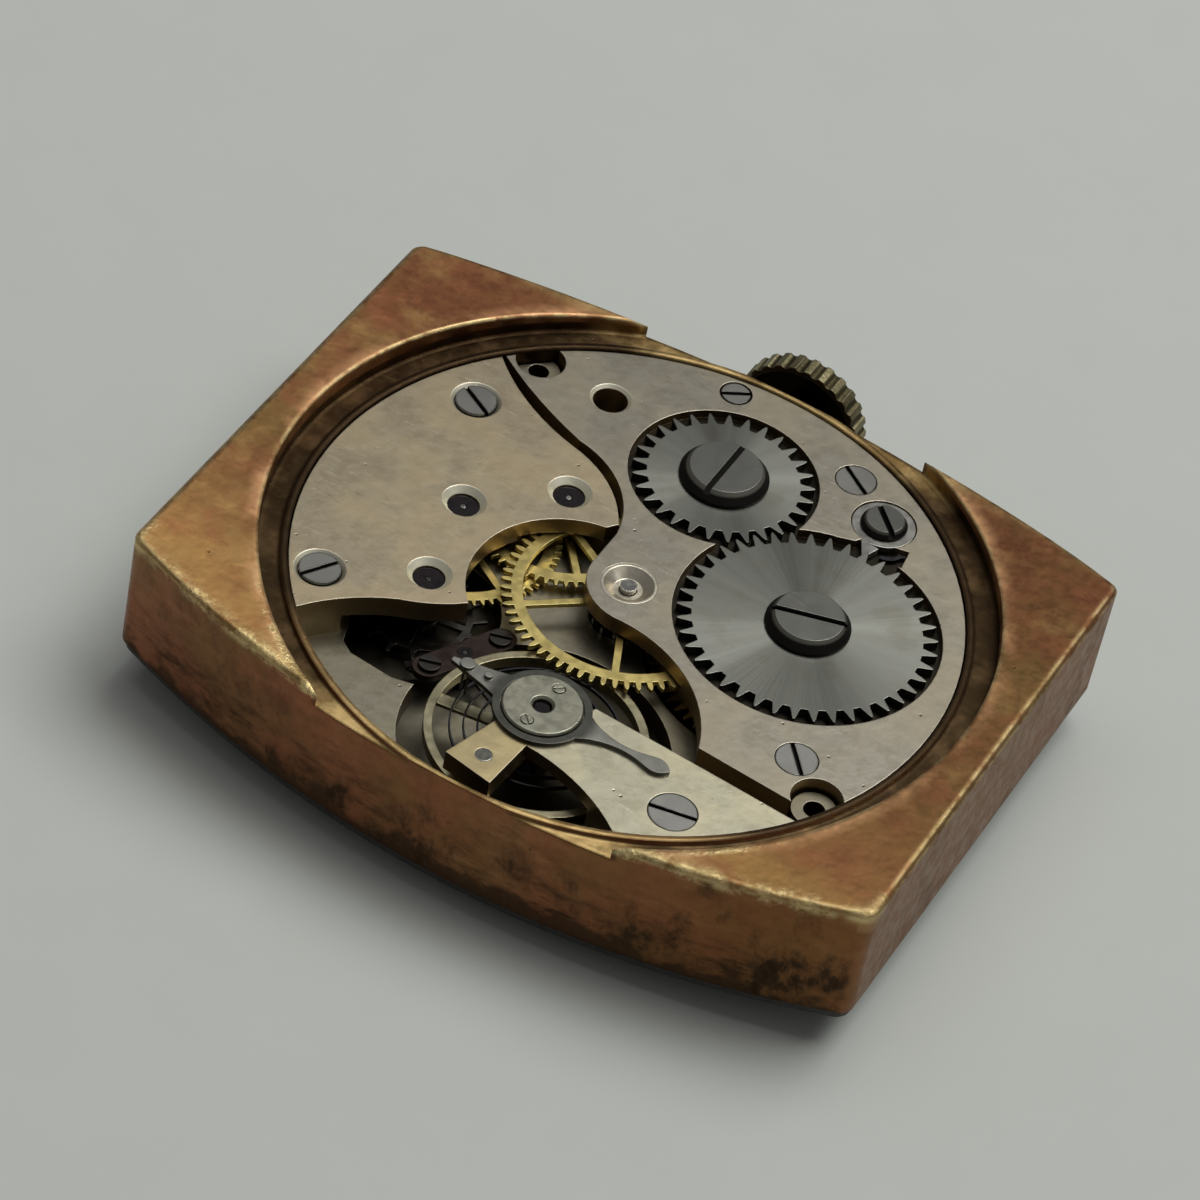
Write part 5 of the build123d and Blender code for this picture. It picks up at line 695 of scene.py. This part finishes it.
WEARS = {
    "frame_copper": ["casing_frame"],
    "train_nickel": ["train_bridge"],
    "barrel_nickel": ["barrel_bridge"],
    "plate_nickel": ["main_plate", "keyless_cover"],
    "cock_nickel": ["balance_cock"],
    "fork_cock_shaded_nickel": ["pallet_cock"],
    "ratchet_steel": ["ratchet_wheel"],
    "crown_wheel_steel": ["crown_wheel"],
    "polished_steel": [
        "winding_stem", "winding_pinion", "sliding_pinion", "setting_lever", "yoke",
        "barrel_arbor", "centre_pinion", "third_pinion", "fourth_pinion", "balance_staff",
        "cannon_pinion",
    ],
    "dark_steel": ["escape_wheel", "escape_pinion", "pallet_fork", "pallet_arbor"],
    "stud_steel": ["hairspring_stud"],
    "click_steel": ["click"],
    "bridge_screw_steel": ["bridge_screws", "balance_cock_screw", "setting_lever_screw"],
    "winding_screw_steel": ["ratchet_screw", "crown_wheel_screw"],
    "click_screw_steel": ["click_screw"],
    "shaded_small_screw_steel": ["small_screws"],
    "index_steel": ["regulator"],
    "cap_steel": ["cap_plate", "cap_screws"],
    "train_brass": ["centre_wheel", "third_wheel", "fourth_wheel"],
    "barrel_brass": ["barrel", "barrel_cover", "minute_wheel", "hour_wheel", "setting_wheel"],
    "balance_brass": ["balance_wheel", "roller"],
    "crown_brass": ["crown"],
    "spring_steel": ["mainspring", "hairspring", "click_spring", "yoke_spring"],
    "blued_steel": ["hour_hand", "minute_hand", "seconds_hand"],
    "bushing_steel": ["centre_bushing"],
    "ruby": ["upper_jewels", "plate_jewels", "balance_jewels", "pallet_stones"],
    "dial_paint": ["dial"],
}
for finish, names in WEARS.items():
    for name in names:
        for slot in nodes[name].material_slots:
            slot.material = FINISHES[finish]


# Dial
def bare_dial():
    """The dial without the stubs of its feet, which stand proud of its painted face."""
    shape = bmesh.new()
    shape.from_mesh(nodes["dial"].data)
    bmesh.ops.remove_doubles(shape, verts=shape.verts, dist=SAME_POINT * MM)
    for x, y in DIAL_FEET:
        foot = Vector((x, y)) * MM
        stub = [
            face
            for face in shape.faces
            if face.calc_center_median().z < DIAL_FOOT_SHOULDER * MM
            and all((vert.co.xy - foot).length < DIAL_FOOT_RADIUS * MM for vert in face.verts)
        ]
        bmesh.ops.delete(shape, geom=stub, context="FACES")
    rims = [edge for edge in shape.edges if edge.is_boundary]
    bmesh.ops.holes_fill(shape, edges=rims, sides=0)
    bmesh.ops.recalc_face_normals(shape, faces=shape.faces)
    return shape


def hour_number(hour, reach, height, depth):
    """One plain number as a mesh, upright to someone who looks at the dial with 12 at the top."""
    letters = bpy.data.curves.new("hour_number", "FONT")
    letters.body = str(hour)
    letters.size = height
    letters.extrude = depth
    letters.align_x, letters.align_y = "CENTER", "CENTER"
    holder = bpy.data.objects.new("hour_number", letters)
    bpy.context.scene.collection.objects.link(holder)
    mesh = bpy.data.meshes.new_from_object(holder)
    bpy.data.objects.remove(holder)
    turn = math.tau * hour / 12
    up, right = reach * math.cos(turn), reach * math.sin(turn)
    mesh.transform(Matrix(((0, 1, 0, up), (1, 0, 0, right), (0, 0, -1, 0), (0, 0, 0, 1))))
    return mesh


def dial_numbers(dial):
    """The hours on the dial's face but for 6, where the small seconds are, laid along its curve."""
    below = -5 * MM
    upwards = Vector((0, 0, 1))
    face = BVHTree.FromBMesh(dial)
    shape = bmesh.new()
    for hour in (1, 2, 3, 4, 5, 7, 8, 9, 10, 11, 12):
        shape.from_mesh(hour_number(hour, reach=8.5 * MM, height=2.0 * MM, depth=0.015 * MM))
    bmesh.ops.remove_doubles(shape, verts=shape.verts, dist=SAME_POINT * MM)
    for vert in shape.verts:
        start = Vector((vert.co.x, vert.co.y, below))
        vert.co.z += face.ray_cast(start, upwards)[0].z
    return shape


def dress(name, shape, material, smooth_angle=0.0):
    """A piece on the frame's body from a bmesh, with its material."""
    mesh = bpy.data.meshes.new(name)
    shape.to_mesh(mesh)
    mesh.materials.clear()
    mesh.materials.append(material)
    if smooth_angle:
        mesh.shade_smooth()
        mesh.set_sharp_from_angle(angle=math.radians(smooth_angle))
    piece = bpy.data.objects.new(name, mesh)
    bpy.context.scene.collection.objects.link(piece)
    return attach(piece, "frame_body")


dial_shape = bare_dial()
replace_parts(dress("dial_face", dial_shape, FINISHES["dial_paint"], 30), "dial")
number_shape = dial_numbers(dial_shape)
dress("dial_numbers", number_shape, number_paint().material)
dial_shape.free()
number_shape.free()


# Studio
def lay_floor():
    """A wide pale card under the movement, which touches its lowest point."""
    mesh = bpy.data.meshes.new("floor")
    shape = bmesh.new()
    half_width = 1.5
    bmesh.ops.create_grid(shape, x_segments=1, y_segments=1, size=half_width)
    bmesh.ops.translate(shape, verts=shape.verts, vec=(0, 0, cad_box[0][2]))
    shape.to_mesh(mesh)
    shape.free()
    floor = bpy.data.objects.new("floor", mesh)
    bpy.context.scene.collection.objects.link(floor)
    mesh.materials.append(floor_card().material)


def hang_lamp(name, place, size, power, tone=(1, 1, 1)):
    """A soft lamp, wide and deep as given, at a place in metres, aimed at the movement."""
    light = bpy.data.lights.new(name, "AREA")
    light.shape = "RECTANGLE"
    light.size, light.size_y = size
    light.energy = power
    light.color = tone
    lamp = bpy.data.objects.new(name, light)
    lamp.location = place
    lamp.rotation_euler = (-Vector(place)).to_track_quat("-Z", "Y").to_euler()
    bpy.context.scene.collection.objects.link(lamp)


def light_room(level):
    """An even pale room all round."""
    world = bpy.data.worlds.new("room")
    world.use_nodes = True
    backdrop = world.node_tree.nodes["Background"]
    backdrop.inputs["Color"].default_value = (1.0, 1.0, 0.98, 1)
    backdrop.inputs["Strength"].default_value = level
    bpy.context.scene.world = world


def set_camera():
    """The camera that took the photograph, from its fitted place, aim and lens."""
    camera = bpy.data.cameras.new("camera")
    camera.lens = 164.346
    camera.sensor_width = 36.0
    camera.clip_start = 0.01
    camera.clip_end = 10
    eye = bpy.data.objects.new("camera", camera)
    right = Vector((0.86401308, 0.47946576, 0.15360334))
    up = Vector((-0.43646555, 0.56124233, 0.7032104))
    back = Vector((0.25095661, -0.67462556, 0.694191))
    axes = Matrix((right, up, back)).transposed().to_4x4()
    place = Vector((0.04694645, -0.12868799, 0.13503525))
    eye.matrix_world = Matrix.Translation(place) @ axes
    bpy.context.scene.collection.objects.link(eye)
    bpy.context.scene.camera = eye


lay_floor()
light_room(level=0.14)
hang_lamp("key_lamp", (0.098, 0.14, 0.384), size=(0.3, 0.26), power=1.12, tone=(1.0, 1.0, 0.98))
hang_lamp("side_lamp", (-0.105, 0.088, 0.4), size=(0.3, 0.2), power=0.2)
set_camera()
bpy.context.scene.view_settings.view_transform = "Standard"
